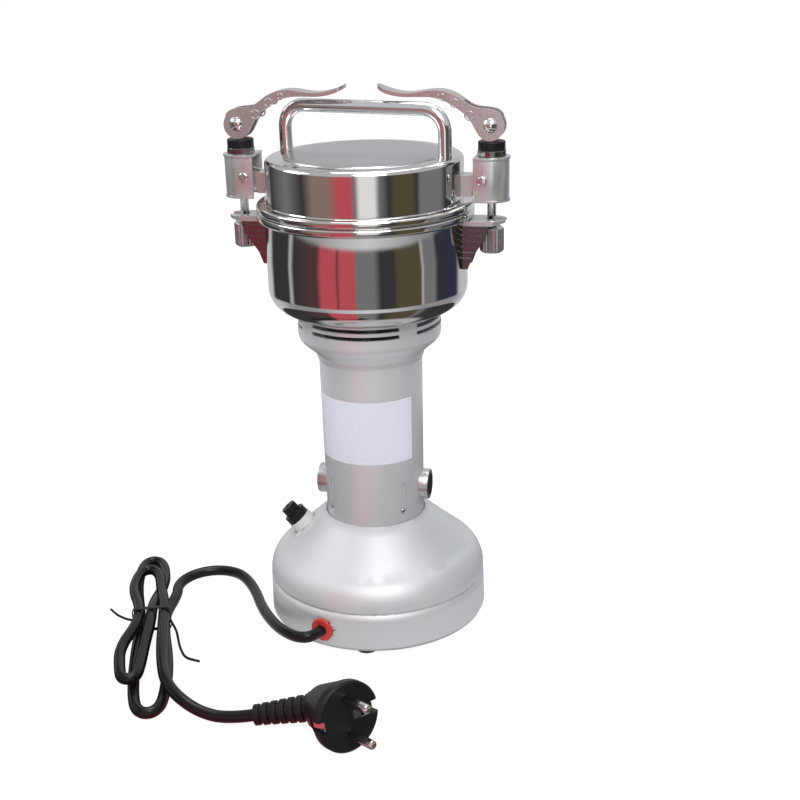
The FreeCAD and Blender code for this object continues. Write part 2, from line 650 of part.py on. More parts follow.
# Lid with a beaded rim and a raised top panel, its seal, and the carrying handle
lid_in_r = lid_r - lid_wall
top_c = (lid_r - lid_corner_r, lid_top_z - lid_corner_r)
panel_edge = 0.5
lid = revolve([
    (lid_in_r, bowl_rim_z),
    (bead_r - bead_edge, bowl_rim_z),
    corner((bead_r - bead_edge, bowl_rim_z + bead_edge), bead_edge, -45),
    (bead_r, bowl_rim_z + bead_edge),
    (bead_r, lid_bead_top_z - bead_edge),
    corner((bead_r - bead_edge, lid_bead_top_z - bead_edge), bead_edge, 45),
    (bead_r - bead_edge, lid_bead_top_z),
    (lid_r, lid_bead_top_z),
    (lid_r, top_c[1]),
    corner(top_c, lid_corner_r, 45),
    (top_c[0], lid_top_z),
    (panel_r, lid_top_z),
    (panel_r - panel_edge, lid_top_z + panel_rise),
    (0, lid_top_z + panel_rise),
    (0, lid_top_z - lid_wall),
    (top_c[0], lid_top_z - lid_wall),
    corner(top_c, lid_corner_r - lid_wall, 45),
    (lid_in_r, top_c[1])])
keep("lid_seal", revolve([(lid_in_r - 1.9, bowl_rim_z - 3.0), (bowl_r - bowl_wall - 0.15, bowl_rim_z - 3.0),
                          (bowl_r - bowl_wall - 0.15, bowl_rim_z - 0.1), (lid_in_r - 0.1, bowl_rim_z - 0.1),
                          (lid_in_r - 0.1, bowl_rim_z + 4.0), (lid_in_r - 1.9, bowl_rim_z + 4.0)]))

half, top_z, bend = handle_half_span, handle_z, handle_bend_r
path = Part.Wire([
    Part.LineSegment(V(-half, 0, lid_top_z), V(-half, 0, top_z - bend)).toShape(),
    Part.Arc(V(-half, 0, top_z - bend), V(-half + bend * (1 - math.sqrt(0.5)), 0, top_z - bend * (1 - math.sqrt(0.5))),
             V(-half + bend, 0, top_z)).toShape(),
    Part.LineSegment(V(-half + bend, 0, top_z), V(half - bend, 0, top_z)).toShape(),
    Part.Arc(V(half - bend, 0, top_z), V(half - bend * (1 - math.sqrt(0.5)), 0, top_z - bend * (1 - math.sqrt(0.5))),
             V(half, 0, top_z - bend)).toShape(),
    Part.LineSegment(V(half, 0, top_z - bend), V(half, 0, lid_top_z)).toShape()])
section = Part.Wire(Part.makeCircle(handle_rod_r, V(-half, 0, lid_top_z), UP))
handle = path.makePipeShell([section], True, False)
handle.rotate(V(0, 0, 0), UP, handle_turn_deg)
keep("handle", handle)
foot_reliefs = []
for side in (-1, 1):
    relief = cyl(handle_rod_r + 0.02, 5, V(side * half, 0, lid_top_z))
    relief.rotate(V(0, 0, 0), UP, handle_turn_deg)
    foot_reliefs.append(relief)
keep("lid", lid.cut(Part.makeCompound(foot_reliefs)))

# Fork plates on the bowl, each with a ramped mouth for the rod, and the folded brackets under them
gusset_in = nut_r + 0.35
gusset_low_z = fork_z - 24.0
web_t = 1.5
rib_count = 6
rib_pitch = 3.1
rib_half = 0.6
rib_proud = 0.45
bracket_in_x = bowl_r - 6.3
fork = cyl(fork_r, fork_t, V(rod_x, 0, fork_z)).fuse(box(bracket_in_x, rod_x, -fork_r, fork_r, fork_z, fork_z + fork_t))
ramp_x = rod_x + 1.0
ramp = prism([V(ramp_x, -20, fork_z - 0.01), V(rod_x + fork_r + 1, -20, fork_z - 0.01),
              V(rod_x + fork_r + 1, -20, fork_z + fork_ramp * fork_r / (fork_r - 1.0))], V(0, 40, 0))
fork = fork.cut(ramp)
fork = fork.cut(box(rod_x, rod_x + 20, -fork_slot / 2, fork_slot / 2, fork_z - 1, fork_z + fork_t + 1))
fork = fork.cut(cyl(fork_slot / 2, fork_t + 2, V(rod_x, 0, fork_z - 1)))
bowl_space = cyl(bowl_r, 60, V(0, 0, bowl_rim_z - 47))
fork = fork.cut(bowl_space)
keep("fork_plates", Part.makeCompound([fork, mirrored(fork)]))

gusset_outline = ((bracket_in_x, fork_z), (rod_x - 0.5, fork_z), (rod_x - 2.3, fork_z - 6.7),
                  (bowl_r + 4.5, fork_z - 17.5), (bowl_r + 2.1, gusset_low_z), (bracket_in_x, gusset_low_z))
bracket = box(bracket_in_x, bowl_r + web_t, -fork_r, fork_r, gusset_low_z, fork_z)
for side in (-1, 1):
    cheek_near = side * gusset_in if side > 0 else side * fork_r
    bracket = bracket.fuse(prism([V(x, cheek_near, z) for x, z in gusset_outline], V(0, fork_r - gusset_in, 0)))
    for step in range(rib_count):
        rib_z = fork_z - 2.6 - rib_pitch * step
        rib_end = rod_x - 3.5 if rib_z > fork_z - 8 else bowl_r + 3.9 + (rib_z - fork_z + 17.5) * 0.6
        rib_y = sorted((side * (fork_r - 0.2), side * (fork_r + rib_proud)))
        bracket = bracket.fuse(box(bowl_r - 0.7, max(rib_end, bowl_r + 2.3), rib_y[0], rib_y[1],
                                   rib_z - rib_half, rib_z + rib_half))
bracket = bracket.cut(bowl_space).removeSplitter()
keep("fork_brackets", Part.makeCompound([bracket, mirrored(bracket)]))

# Lug on the lid with two ears, and the rivet that the clamp box swings on
ear_in = 3.3
ear_out = 5.8
lug_low_z = rivet_z - 9.5
lug_high_z = rivet_z + 2.0
nose_r = 3.8
root_x = lid_r + 5.6
lug = box(bracket_in_x, root_x, -ear_out, ear_out, lug_low_z, lug_high_z).cut(cyl(lid_r, 60, V(0, 0, bowl_rim_z - 7)))
for side in (-1, 1):
    y0 = min(side * ear_in, side * ear_out)
    ear = cyl(nose_r, ear_out - ear_in, V(rivet_x, y0, rivet_z), V(0, 1, 0))
    ear = ear.fuse(prism([V(root_x - 1, y0, lug_low_z + 2), V(rivet_x, y0, rivet_z - nose_r),
                          V(rivet_x, y0, rivet_z + nose_r - 0.4), V(root_x - 1, y0, lug_high_z)],
                         V(0, ear_out - ear_in, 0)))
    lug = lug.fuse(ear)
lug = bored(lug, rivet_r + 0.02, V(rivet_x, -20, rivet_z), V(0, 1, 0), 40).removeSplitter()
keep("lid_lugs", Part.makeCompound([lug, mirrored(lug)]))
rivet_head_r = 2.7
rivet_head_t = 1.4
rivet = cyl(rivet_r, 2 * box_half_w + 1, V(rivet_x, -box_half_w - 0.5, rivet_z), V(0, 1, 0))
for side in (-1, 1):
    head = cyl(rivet_head_r, rivet_head_t, V(rivet_x, side * (box_half_w + 0.15), rivet_z), V(0, side, 0))
    head = head.makeFillet(0.9, [edge for edge in head.Edges if abs(edge.BoundBox.YMin + edge.BoundBox.YMax)
                                 > 2 * (box_half_w + 1.2)])
    rivet = rivet.fuse(head)
keep("swing_rivets", Part.makeCompound([rivet, mirrored(rivet)]))

# Clamp box: a folded channel, open towards the lid and below, with a collar and a black pad on top
guide_r = rod_r + running_fit
clamp_box = box(box_in_x, box_out_x, -box_half_w, box_half_w, box_bottom_z, box_top_z)
clamp_box = clamp_box.makeFillet(4.6, [edge for edge in clamp_box.Edges if edge.BoundBox.XMin > box_out_x - 0.1
                                       and edge.BoundBox.ZLength > 10])
clamp_box = clamp_box.makeFillet(0.6, [edge for edge in clamp_box.Edges if edge.BoundBox.ZMin > box_top_z - 0.1])
inside = box(box_in_x - 5, box_out_x - box_wall, -box_half_w + box_wall, box_half_w - box_wall, box_bottom_z - 1,
             box_top_z - 2.4)
inside = inside.makeFillet(4.6 - box_wall, [edge for edge in inside.Edges if edge.BoundBox.XMin > box_out_x - box_wall
                                            - 0.1 and edge.BoundBox.ZLength > 10])
clamp_box = clamp_box.cut(inside)
clamp_box = clamp_box.fuse(cyl(collar_r, collar_h, V(rod_x, 0, box_top_z)))
clamp_box = bored(clamp_box, guide_r, V(rod_x, 0, box_top_z - 5), UP, 20)
clamp_box = bored(clamp_box, rivet_r + running_fit, V(rivet_x, -20, rivet_z), V(0, 1, 0), 40)
pad_z = box_top_z + collar_h
pad = cyl(collar_r - 0.35, pad_h, V(rod_x, 0, pad_z))
pad = pad.makeFillet(0.7, [edge for edge in pad.Edges if edge.BoundBox.ZMin > pad_z + pad_h - 0.1])
pad = bored(pad, guide_r + 0.1, V(rod_x, 0, pad_z - 1), UP, 20)

# Rod with an eye at the top, and the knurled nut on its foot
nut_top_z = fork_z - nut_gap
nut_low_z = nut_top_z - nut_h
eye_r = 4.4
eye_half_w = cheek_gap - 0.3
rod = cyl(rod_r, pivot_z - 3 - nut_low_z - 1.2, V(rod_x, 0, nut_low_z + 1.2))
rod = rod.fuse(cyl(eye_r, 2 * eye_half_w, V(rod_x, -eye_half_w, pivot_z), V(0, 1, 0)))
rod = bored(rod, pin_r + running_fit, V(rod_x, -20, pivot_z), V(0, 1, 0), 40).removeSplitter()

knurls = 24
star = []
for turn in range(2 * knurls):
    radius = nut_r if turn % 2 else nut_r - 0.45
    star.append(V(rod_x + radius * math.cos(math.pi * turn / knurls), radius * math.sin(math.pi * turn / knurls),
                  nut_low_z))
nut = prism(star, V(0, 0, nut_h))
chamfer = 1.1
envelope = revolve([(guide_r, nut_low_z), (nut_r - chamfer, nut_low_z), (nut_r + 0.01, nut_low_z + chamfer),
                    (nut_r + 0.01, nut_top_z - chamfer), (nut_r - chamfer, nut_top_z), (guide_r, nut_top_z)])
envelope.translate(V(rod_x, 0, 0))
nut = nut.common(envelope)

# Cam lever: two cheeks on the pin, whose edge is a spiral on the pad, and a strap that sweeps over the handle
cam_r = pivot_z - pad_z - pad_h - cam_gap
cam_points = []
cam_steps = 6
for step in range(cam_steps + 1):
    share = step / cam_steps
    angle = math.radians(-90 + cam_turn_deg * share)
    radius = cam_r - cam_drop * share
    cam_points.append(V(rod_x + radius * math.cos(angle), -lever_half_w, pivot_z + radius * math.sin(angle)))
under_shares = ((0.073, -0.112), (0.164, 0.024), (0.301, 0.153), (0.480, 0.231), (0.707, 0.239), (0.870, 0.255),
                (0.990, 0.307))
over_shares = ((1.0, 0.343), (0.878, 0.294), (0.707, 0.273), (0.496, 0.298), (0.301, 0.252), (0.146, 0.158),
               (0.016, 0.140), (-0.080, 0.101))


def lever_point(inward, upward):
    """A point of the lever's side outline, in shares of its reach from the pivot."""
    return V(rod_x - lever_reach * inward, -lever_half_w, pivot_z + lever_reach * upward)


under = [cam_points[0]] + [lever_point(*shares) for shares in under_shares]
over = [lever_point(*shares) for shares in over_shares] + [cam_points[-1]]


def smooth(points):
    curve = Part.BSplineCurve()
    curve.interpolate(points)
    return curve.toShape()


outline = Part.Wire([smooth(under), Part.LineSegment(under[-1], over[0]).toShape(), smooth(over),
                     smooth(list(reversed(cam_points)))])
lever = Part.Face(outline).extrude(V(0, 2 * lever_half_w, 0))
lever = lever.cut(box(rod_x - cheek_slot, rod_x + 20, -cheek_gap, cheek_gap, pivot_z - 25, pivot_z + 40))
tip_round = 4.5
tip_x = under[-1].x - 0.8
plan = box(tip_x, rod_x + 20, -lever_half_w, lever_half_w, pivot_z - 25, pivot_z + 40)
plan = plan.makeFillet(tip_round, [edge for edge in plan.Edges if edge.BoundBox.XMax < tip_x + 0.1
                                   and edge.BoundBox.ZLength > 50])
lever = lever.common(plan)
lever = bored(lever, pin_r + 0.02, V(rod_x, -20, pivot_z), V(0, 1, 0), 40)
pin_head_r = 4.3
pin_head_t = 1.8
pin = cyl(pin_r, 2 * lever_half_w + 0.4, V(rod_x, -lever_half_w - 0.2, pivot_z), V(0, 1, 0))
for side in (-1, 1):
    head = cyl(pin_head_r, pin_head_t, V(rod_x, side * (lever_half_w + 0.05), pivot_z), V(0, side, 0))
    head = head.makeFillet(1.4, [edge for edge in head.Edges if abs(edge.BoundBox.YMin + edge.BoundBox.YMax)
                                 > 2 * (lever_half_w + 1.5)])
    pin = pin.fuse(head)

for name, shape in (("clamp_box", clamp_box), ("clamp_pad", pad), ("clamp_rod", rod), ("clamp_nut", nut),
                    ("clamp_lever", lever), ("lever_pin", pin)):
    keep(name + "_right", shape)
    keep(name + "_left", mirrored(shape))

# Mains lead. Points of its route are at the middle of the cord, and corners are rounded by arcs.
floor_lift = 0.05
cord_low = cord_r + floor_lift
layer_step = cord_d + 0.7
strand_step = cord_d + 0.8
waist_lift = 0.6
hank_centre = V(-125.9, -57.2, 0)
hank_deg = 109.9
hank_along = V(math.cos(math.radians(hank_deg)), math.sin(math.radians(hank_deg)), 0)
hank_across = V(hank_along.y, -hank_along.x, 0)


def hank_point(along, across, height):
    return hank_centre + hank_along * along + hank_across * across + V(0, 0, height)


def rounded_route(points):
    """Straight runs joined by tangent arcs, each as large as the shorter of its two runs allows."""
    edges = []
    start = points[0]
    radii = []
    for before, here, after in zip(points, points[1:], points[2:]):
        arriving = (here - before).normalize()
        leaving = (after - here).normalize()
        half_turn = arriving.getAngle(leaving) / 2
        trim = 0.45 * min((here - before).Length, (after - here).Length)
        radius = trim / math.tan(half_turn)
        radii.append(round(radius, 1))
        arc_start = here - arriving * trim
        arc_end = here + leaving * trim
        inward = (leaving - arriving).normalize()
        middle = here + inward * (radius / math.cos(half_turn) - radius)
        edges.append(Part.LineSegment(start, arc_start).toShape())
        edges.append(Part.Arc(arc_start, middle, arc_end).toShape())
        start = arc_end
    edges.append(Part.LineSegment(start, points[-1]).toShape())
    return Part.Wire(edges), radii


def tube(wire, radius):
    first = wire.OrderedEdges[0]
    start = first.valueAt(first.FirstParameter)
    heading = first.tangentAt(first.FirstParameter)
    profile = Part.Wire(Part.makeCircle(radius, start, heading))
    return wire.makePipeShell([profile], True, False)


def free_tube(name, points, radius):
    wire, radii = rounded_route(points)
    solid = tube(wire, radius)
    share = solid.Volume / (math.pi * radius ** 2 * wire.Length)
    print(name, "length", round(wire.Length, 1), "radii", radii, "volume share", round(share, 3))
    return solid


lead_points = [
    polar(base_r - 4, grommet_deg, grommet_z),
    polar(base_r + 9, grommet_deg, grommet_z), V(-28.8, -73.6, 13.6), V(-38.6, -67.4, 12.2), V(-50.5, -53.8, 9.2),
    V(-65.5, -30.8, 5.6), V(-78.4, -5.3, cord_low + 0.1), V(-90.4, 10.4, cord_low), V(-99.9, 15.9, cord_low),
    V(-110.9, 16.4, cord_low), V(-120.8, 11.5, cord_low), V(-127.2, 2.7, cord_low),
    hank_point(47.0, 13.9, cord_low), hank_point(35.0, 13.9, cord_low)]
lead = free_tube("cord_lead", lead_points, cord_r)
keep("cord_lead", lead)

low_layer = cord_low
high_layer = cord_low + layer_step
low_waist = low_layer + waist_lift
high_waist = high_layer + waist_lift
straight_end = cord_d + 0.5


def hank_turn(layer, waist, lower, upper, exit_across):
    """Knots of one turn: down the right side, round the lower end, up the left side, round the upper end.

    lower and upper are (reach, left, right, shoulder place) of the two half loops. A knot is
    (along, across, height, heading along, heading across).
    """
    low_reach, low_left, low_right, low_place = lower
    high_reach, high_left, high_right, high_place = upper
    return [
        (-low_place, low_right, layer, -1, 0),
        (-low_reach, (low_left + low_right) / 2, layer, 0, -1),
        (-low_place - 4, low_left, layer, 1, 0),
        (-8.0, -strand_step, waist, 1, 0),
        (8.0, -strand_step, waist, 1, 0),
        (high_place + 4, high_left, layer, 1, 0),
        (high_reach, (high_left + high_right) / 2, layer, 0, 1),
        (high_place, high_right, layer, -1, 0),
        (13.0, exit_across, waist, -1, 0)]


big_lower = (93.0, -8.5, 11.0, 46.0)
big_upper = (83.0, -11.5, 6.0, 50.0)
small_lower = (69.0, -16.5, -2.5, 36.0)
small_upper = (57.0, -12.5, 4.5, 32.0)
knots = [(35.0, 13.9, low_layer, -1, 0), (35.0 - straight_end, 13.9, low_layer, -1, 0),
         (8.0, strand_step, low_waist, -1, 0), (-8.0, strand_step, low_waist, -1, 0)]
knots += hank_turn(low_layer, low_waist, big_lower, big_upper, 0.0)
knots += [(-14.0, 0.0, high_waist, -1, 0)]
knots += hank_turn(high_layer, high_waist, small_lower, small_upper, strand_step)
knots += [(0.0, strand_step, high_waist, -1, 0), (-20.0, strand_step, high_waist, -1, 0)]


def biarc(start, heading_a, end, heading_b):
    """Two tangent arcs from one knot to the next."""
    chord = end - start
    if heading_a.getAngle(chord) < 1e-6 and heading_b.getAngle(chord) < 1e-6:
        return [Part.LineSegment(start, end).toShape()]
    both = heading_a + heading_b
    a_term = 2 * (heading_a.dot(heading_b) - 1)
    b_term = -2 * chord.dot(both)
    c_term = chord.dot(chord)
    if abs(a_term) < 1e-9:
        reach = -c_term / b_term
    else:
        reach = (-b_term - math.sqrt(b_term ** 2 - 4 * a_term * c_term)) / (2 * a_term)
    middle = (start + end + (heading_a - heading_b) * reach) * 0.5

    def arc(from_point, to_point, heading):
        span = to_point - from_point
        half_turn = heading.getAngle(span)
        sagitta = span.Length / 2 * math.tan(half_turn / 2)
        bulge = (heading * span.Length - span * math.cos(half_turn)).normalize()
        return Part.Arc(from_point, (from_point + to_point) * 0.5 + bulge * sagitta, to_point).toShape()

    first = arc(start, middle, heading_a)
    back = arc(end, middle, heading_b * -1)
    return [first, Part.Arc(middle, back.valueAt((back.FirstParameter + back.LastParameter) / 2), end).toShape()]


hank_edges = []
for here, after in zip(knots, knots[1:]):
    start, end = hank_point(*here[:3]), hank_point(*after[:3])
    heading_a = hank_along * here[3] + hank_across * here[4]
    heading_b = hank_along * after[3] + hank_across * after[4]
    hank_edges += biarc(start, heading_a, end, heading_b)
hank_wire = Part.Wire(hank_edges)
hank = tube(hank_wire, cord_r)
samples = []
travelled = 0.0
for edge in hank_edges:
    count = max(2, int(edge.Length / 1.5))
    for number in range(count):
        share = number / count
        samples.append((travelled + edge.Length * share,
                        edge.valueAt(edge.FirstParameter + (edge.LastParameter - edge.FirstParameter) * share)))
    travelled += edge.Length
least = min((a - b).Length for s, a in samples for t, b in samples if t - s > 3.5 * cord_d) - cord_d
print("cord_hank length", round(hank_wire.Length, 1), "least gap to itself", round(least, 2), "volume share",
      round(hank.Volume / (math.pi * cord_r ** 2 * hank_wire.Length), 3))
keep("cord_hank", hank)

tail_points = [
    hank_point(-20.0, strand_step, high_waist), hank_point(-38.0, strand_step, high_waist),
    hank_point(-57.0, 8.2, high_layer), hank_point(-75.0, 10.4, high_layer),
    hank_point(-90.0, 17.5, high_layer - 1.9), hank_point(-100.5, 29.5, cord_low + 1.3),
    hank_point(-106.5, 43.5, cord_low), V(-33.9, -140.9, 6.2)]
keep("cord_tail", free_tube("cord_tail", tail_points, cord_r))

# Wire tie round the waist of the hank, with its two free ends
tie_t = 0.45
tie_w = 3.0
tie_half = strand_step + cord_r + 0.35
tie_top = high_waist + cord_r + 0.3
tie_wire_r = 0.75
tie = box(-tie_w / 2, tie_w / 2, -tie_half - tie_t, tie_half + tie_t, 0.1, tie_top + tie_t)
tie = tie.makeFillet(2.6, [edge for edge in tie.Edges if edge.BoundBox.XLength > tie_w - 0.1])
tie_hole = box(-tie_w, tie_w, -tie_half, tie_half, 0.1 + tie_t, tie_top)
tie_hole = tie_hole.makeFillet(2.2, [edge for edge in tie_hole.Edges if edge.BoundBox.XLength > tie_w])
tie = tie.cut(tie_hole)
tie.rotate(V(0, 0, 0), UP, hank_deg)
tie.translate(hank_centre)
left_end = [hank_point(0.6, -tie_half - 0.2, 7.0), hank_point(4.0, -tie_half - 4.5, 6.4),
            hank_point(11.0, -tie_half - 10.0, 5.4), hank_point(21.0, -tie_half - 15.0, 4.6)]
right_end = [hank_point(-0.6, tie_half + 0.2, 5.0), hank_point(-10.0, tie_half + 3.6, 3.4),
             hank_point(-26.0, tie_half + 5.6, 1.4), hank_point(-38.0, tie_half + 9.0, 1.2),
             hank_point(-43.0, tie_half + 17.0, 1.2)]
for name, points in (("left tie end", left_end), ("right tie end", right_end)):
    tie = tie.fuse(free_tube(name, points, tie_wire_r))
keep("cord_tie", tie)

# Ribbed strain relief, plug body, pins and earth clips
plug_face = V(21.3, -155.6, 20.9)
plug_deg = -40.0
plug_lean = 10.6
plug_r = 18.5
plug_rim_t = 5.0
plug_back_r = 10.5
plug_back = 27.0
relief_l = 31.0
relief_low_r = 5.6
relief_high_r = 7.4
relief_ribs = 6
relief_start = tail_points[-1]
relief_axis = (tail_points[-1] - tail_points[-2]).normalize()
rib_pitch = relief_l / (relief_ribs + 0.5)
relief_outline = [(0, 0)]
for number in range(relief_ribs):
    low = rib_pitch * number
    edge_r = relief_low_r + (relief_high_r - relief_low_r) * number / relief_ribs
    relief_outline += [(edge_r, low), (edge_r, low + rib_pitch * 0.62), (edge_r - 1.5, low + rib_pitch * 0.66),
                       (edge_r - 1.5, low + rib_pitch * 0.96)]
relief_outline += [(relief_high_r, rib_pitch * relief_ribs), (relief_high_r, relief_l), (0, relief_l)]
relief = revolve(relief_outline)
relief.Placement = FreeCAD.Placement(relief_start, FreeCAD.Rotation(UP, relief_axis))
keep("plug_strain_relief", relief)

lean = math.radians(plug_lean)
heading = math.radians(plug_deg)
plug_axis = V(math.cos(heading) * math.cos(lean), math.sin(heading) * math.cos(lean), math.sin(lean))
plug_side = UP.cross(plug_axis).normalize()
plug_top = plug_axis.cross(plug_side)
plug_matrix = FreeCAD.Matrix(plug_side.x, plug_top.x, plug_axis.x, plug_face.x, plug_side.y, plug_top.y,
                             plug_axis.y, plug_face.y, plug_side.z, plug_top.z, plug_axis.z, plug_face.z,
                             0, 0, 0, 1)
plug_place = FreeCAD.Placement(plug_matrix)
clip_in = 13.8
clip_t = 1.0
clip_half = 2.6
clip_deep = 12.0
notch_half = 3.3
pin_spacing = 19.0
plug_pin_r = 2.4
plug_pin_l = 19.0
plug_pin_root = 6.0
socket_x = 9.8
socket_half = 3.0
socket_wall = 0.7
socket_deep = 10.0
tongue_reach = 4.0
body = revolve([(0, -plug_back), (plug_back_r - 1.5, -plug_back), (plug_back_r, -plug_back + 1.5),
                (plug_r - 0.7, -plug_rim_t - 1.2), (plug_r, -plug_rim_t), (plug_r, -1.0), (plug_r - 1.0, 0), (0, 0)])
for side in (-1, 1):
    notch_x = sorted((side * clip_in, side * (plug_r + 4)))
    body = body.cut(box(notch_x[0], notch_x[1], -notch_half, notch_half, -clip_deep, 1))
    body = body.cut(cyl(plug_pin_r, plug_pin_l, V(0, side * pin_spacing / 2, -plug_pin_root)))
socket = box(socket_x - socket_half, socket_x + socket_half, -socket_half, socket_half, -socket_deep, -0.2)
socket_hole = box(socket_x - socket_half + socket_wall, socket_x + socket_half - socket_wall,
                  -socket_half + socket_wall, socket_half - socket_wall, -socket_deep - 1, 1)
tongue = box(socket_x - socket_half - tongue_reach, socket_x - socket_half, -socket_half + socket_wall,
             socket_half - socket_wall, -0.8, -0.2)
body = body.cut(box(socket_x - socket_half, socket_x + socket_half, -socket_half, socket_half, -socket_deep, 1))
body = body.cut(box(socket_x - socket_half - tongue_reach, socket_x, -socket_half + socket_wall,
                    socket_half - socket_wall, -0.8, 1))
relief_end = relief_start + relief_axis * relief_l
neck_way = plug_face - plug_axis * 10 - relief_end
body.Placement = plug_place
neck = Part.makeCone(relief_high_r + 1.2, 14.5, neck_way.Length, relief_end, neck_way)
neck = neck.cut(cyl(30, 20, relief_end, relief_axis * -1))
neck_notch = box(-plug_r - 4, plug_r + 4, -notch_half, notch_half, -clip_deep, 1).cut(
    box(-clip_in, clip_in, -plug_r, plug_r, -clip_deep - 1, 2))
neck_notch.Placement = plug_place
keep("plug_body", body.fuse(neck.cut(neck_notch)).cut(relief).removeSplitter())
pins = []
contacts = [socket.cut(socket_hole).fuse(tongue)]
for side in (-1, 1):
    plug_pin = cyl(plug_pin_r, plug_pin_l + plug_pin_root, V(0, side * pin_spacing / 2, -plug_pin_root))
    plug_pin = plug_pin.makeFillet(1.6, [edge for edge in plug_pin.Edges if edge.BoundBox.ZMin > plug_pin_l - 0.1])
    plug_pin.Placement = plug_place
    pins.append(plug_pin)
    clip_x = sorted((side * clip_in, side * (clip_in + clip_t)))
    contacts.append(box(clip_x[0], clip_x[1], -clip_half, clip_half, -clip_deep, -0.6))
for contact in contacts:
    contact.Placement = plug_place
keep("plug_pins", Part.makeCompound(pins))
keep("plug_earth_clips", Part.makeCompound(contacts))

for name, shape in parts.items():
    shape.exportStep("parts/" + name + ".step")
print(len(parts), "sub-parts")
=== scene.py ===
import json
import math

import bpy
from mathutils import Matrix, Vector

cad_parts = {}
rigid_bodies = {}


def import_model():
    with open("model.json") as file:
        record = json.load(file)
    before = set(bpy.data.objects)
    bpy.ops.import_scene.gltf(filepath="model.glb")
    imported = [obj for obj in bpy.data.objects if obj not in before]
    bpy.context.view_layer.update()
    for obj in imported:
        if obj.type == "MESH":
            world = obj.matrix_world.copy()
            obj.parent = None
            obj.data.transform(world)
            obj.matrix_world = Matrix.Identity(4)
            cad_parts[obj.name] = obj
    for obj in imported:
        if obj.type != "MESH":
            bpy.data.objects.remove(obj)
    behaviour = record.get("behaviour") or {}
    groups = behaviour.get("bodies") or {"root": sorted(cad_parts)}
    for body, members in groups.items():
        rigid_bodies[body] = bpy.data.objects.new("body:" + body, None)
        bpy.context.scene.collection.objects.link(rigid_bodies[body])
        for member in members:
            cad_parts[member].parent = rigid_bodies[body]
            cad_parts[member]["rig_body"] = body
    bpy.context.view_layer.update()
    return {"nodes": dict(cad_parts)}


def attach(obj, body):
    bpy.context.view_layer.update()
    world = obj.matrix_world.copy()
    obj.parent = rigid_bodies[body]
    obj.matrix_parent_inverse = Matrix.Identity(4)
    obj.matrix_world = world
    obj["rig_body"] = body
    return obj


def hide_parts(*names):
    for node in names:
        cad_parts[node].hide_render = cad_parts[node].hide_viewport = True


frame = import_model()
bpy.context.scene.view_settings.view_transform = "Standard"
bpy.ops.object.select_all(action="DESELECT")

# Camera. It stands in front of the mill and to the right of the cord outlet, looks down on the lid, and
# is tilted a little, as the photographer held it.
photo_turn_deg = 14.0
photo_turn = math.radians(photo_turn_deg)
camera_away = 0.71372
camera_height = 0.39512
camera_pitch = 0.3531
camera_yaw = 0.0227
camera_roll = -0.0262


def turned_to_photo(x, y, z):
    return Vector((x * math.cos(photo_turn) - y * math.sin(photo_turn),
                   x * math.sin(photo_turn) + y * math.cos(photo_turn), z))


looking = turned_to_photo(math.sin(camera_yaw) * math.cos(camera_pitch),
                          math.cos(camera_yaw) * math.cos(camera_pitch), -math.sin(camera_pitch))
level_right = turned_to_photo(math.cos(camera_yaw), -math.sin(camera_yaw), 0)
level_up = level_right.cross(looking)
camera_right = level_right * math.cos(camera_roll) + level_up * math.sin(camera_roll)
camera_up = level_up * math.cos(camera_roll) - level_right * math.sin(camera_roll)
bpy.ops.object.camera_add()
camera = bpy.context.object
camera.name = "photo_camera"
camera.data.lens = 58.5
camera.data.sensor_width = 36.0
camera.data.clip_start = 0.02
camera.data.clip_end = 20.0
camera_axes = Matrix((camera_right, camera_up, -looking)).transposed()
camera_place = Matrix.Translation(turned_to_photo(0, -camera_away, camera_height))
camera.matrix_world = camera_place @ camera_axes.to_4x4()
bpy.context.scene.camera = camera

# Mains cord, 6.5 mm round black PVC. It leaves the base through the grommet, arches over the floor to a
# hank of two long turns that a wire tie holds, and runs on round a wide bend to the plug.
MM = 0.001
cord_width = 6.5 * MM
cord_low = 3.3
cord_layer = 7.2
cord_strand = 7.3
hank_middle = Vector((-125.9, -57.2, 0)) * MM
hank_angle = math.radians(109.9)
hank_along = Vector((math.cos(hank_angle), math.sin(hank_angle), 0))
hank_across = Vector((hank_along.y, -hank_along.x, 0))


def in_hank(along, across, height):
    return hank_middle + (hank_along * along + hank_across * across + Vector((0, 0, height))) * MM


def outward(radius, bearing, height):
    """A point in metres, from a radius and height in mm and a bearing that is 0 at the front (-Y)."""
    angle = math.radians(bearing)
    return Vector((radius * math.sin(angle), -radius * math.cos(angle), height)) * MM


def plain_material(name, colour, metallic, roughness):
    """A material with its main shader, whose texture nodes are added by the caller."""
    made = bpy.data.materials.new(name)
    made.use_nodes = True
    shader = made.node_tree.nodes["Principled BSDF"]
    shader.inputs["Base Color"].default_value = (*colour, 1.0)
    shader.inputs["Metallic"].default_value = metallic
    shader.inputs["Roughness"].default_value = roughness
    made.diffuse_color = (*colour, 1.0)
    return made, made.node_tree, shader


def place_texture(tree, scale=(1, 1, 1)):
    """Object coordinates in millimetres, stretched by scale."""
    where = tree.nodes.new("ShaderNodeTexCoord")
    mapping = tree.nodes.new("ShaderNodeMapping")
    mapping.inputs["Scale"].default_value = [1000.0 * share for share in scale]
    tree.links.new(where.outputs["Object"], mapping.inputs["Vector"])
    return mapping.outputs["Vector"]


def noise(tree, vector, scale, detail=2.0):
    texture = tree.nodes.new("ShaderNodeTexNoise")
    texture.inputs["Scale"].default_value = scale
    texture.inputs["Detail"].default_value = detail
    tree.links.new(vector, texture.inputs["Vector"])
    return texture.outputs["Fac"]


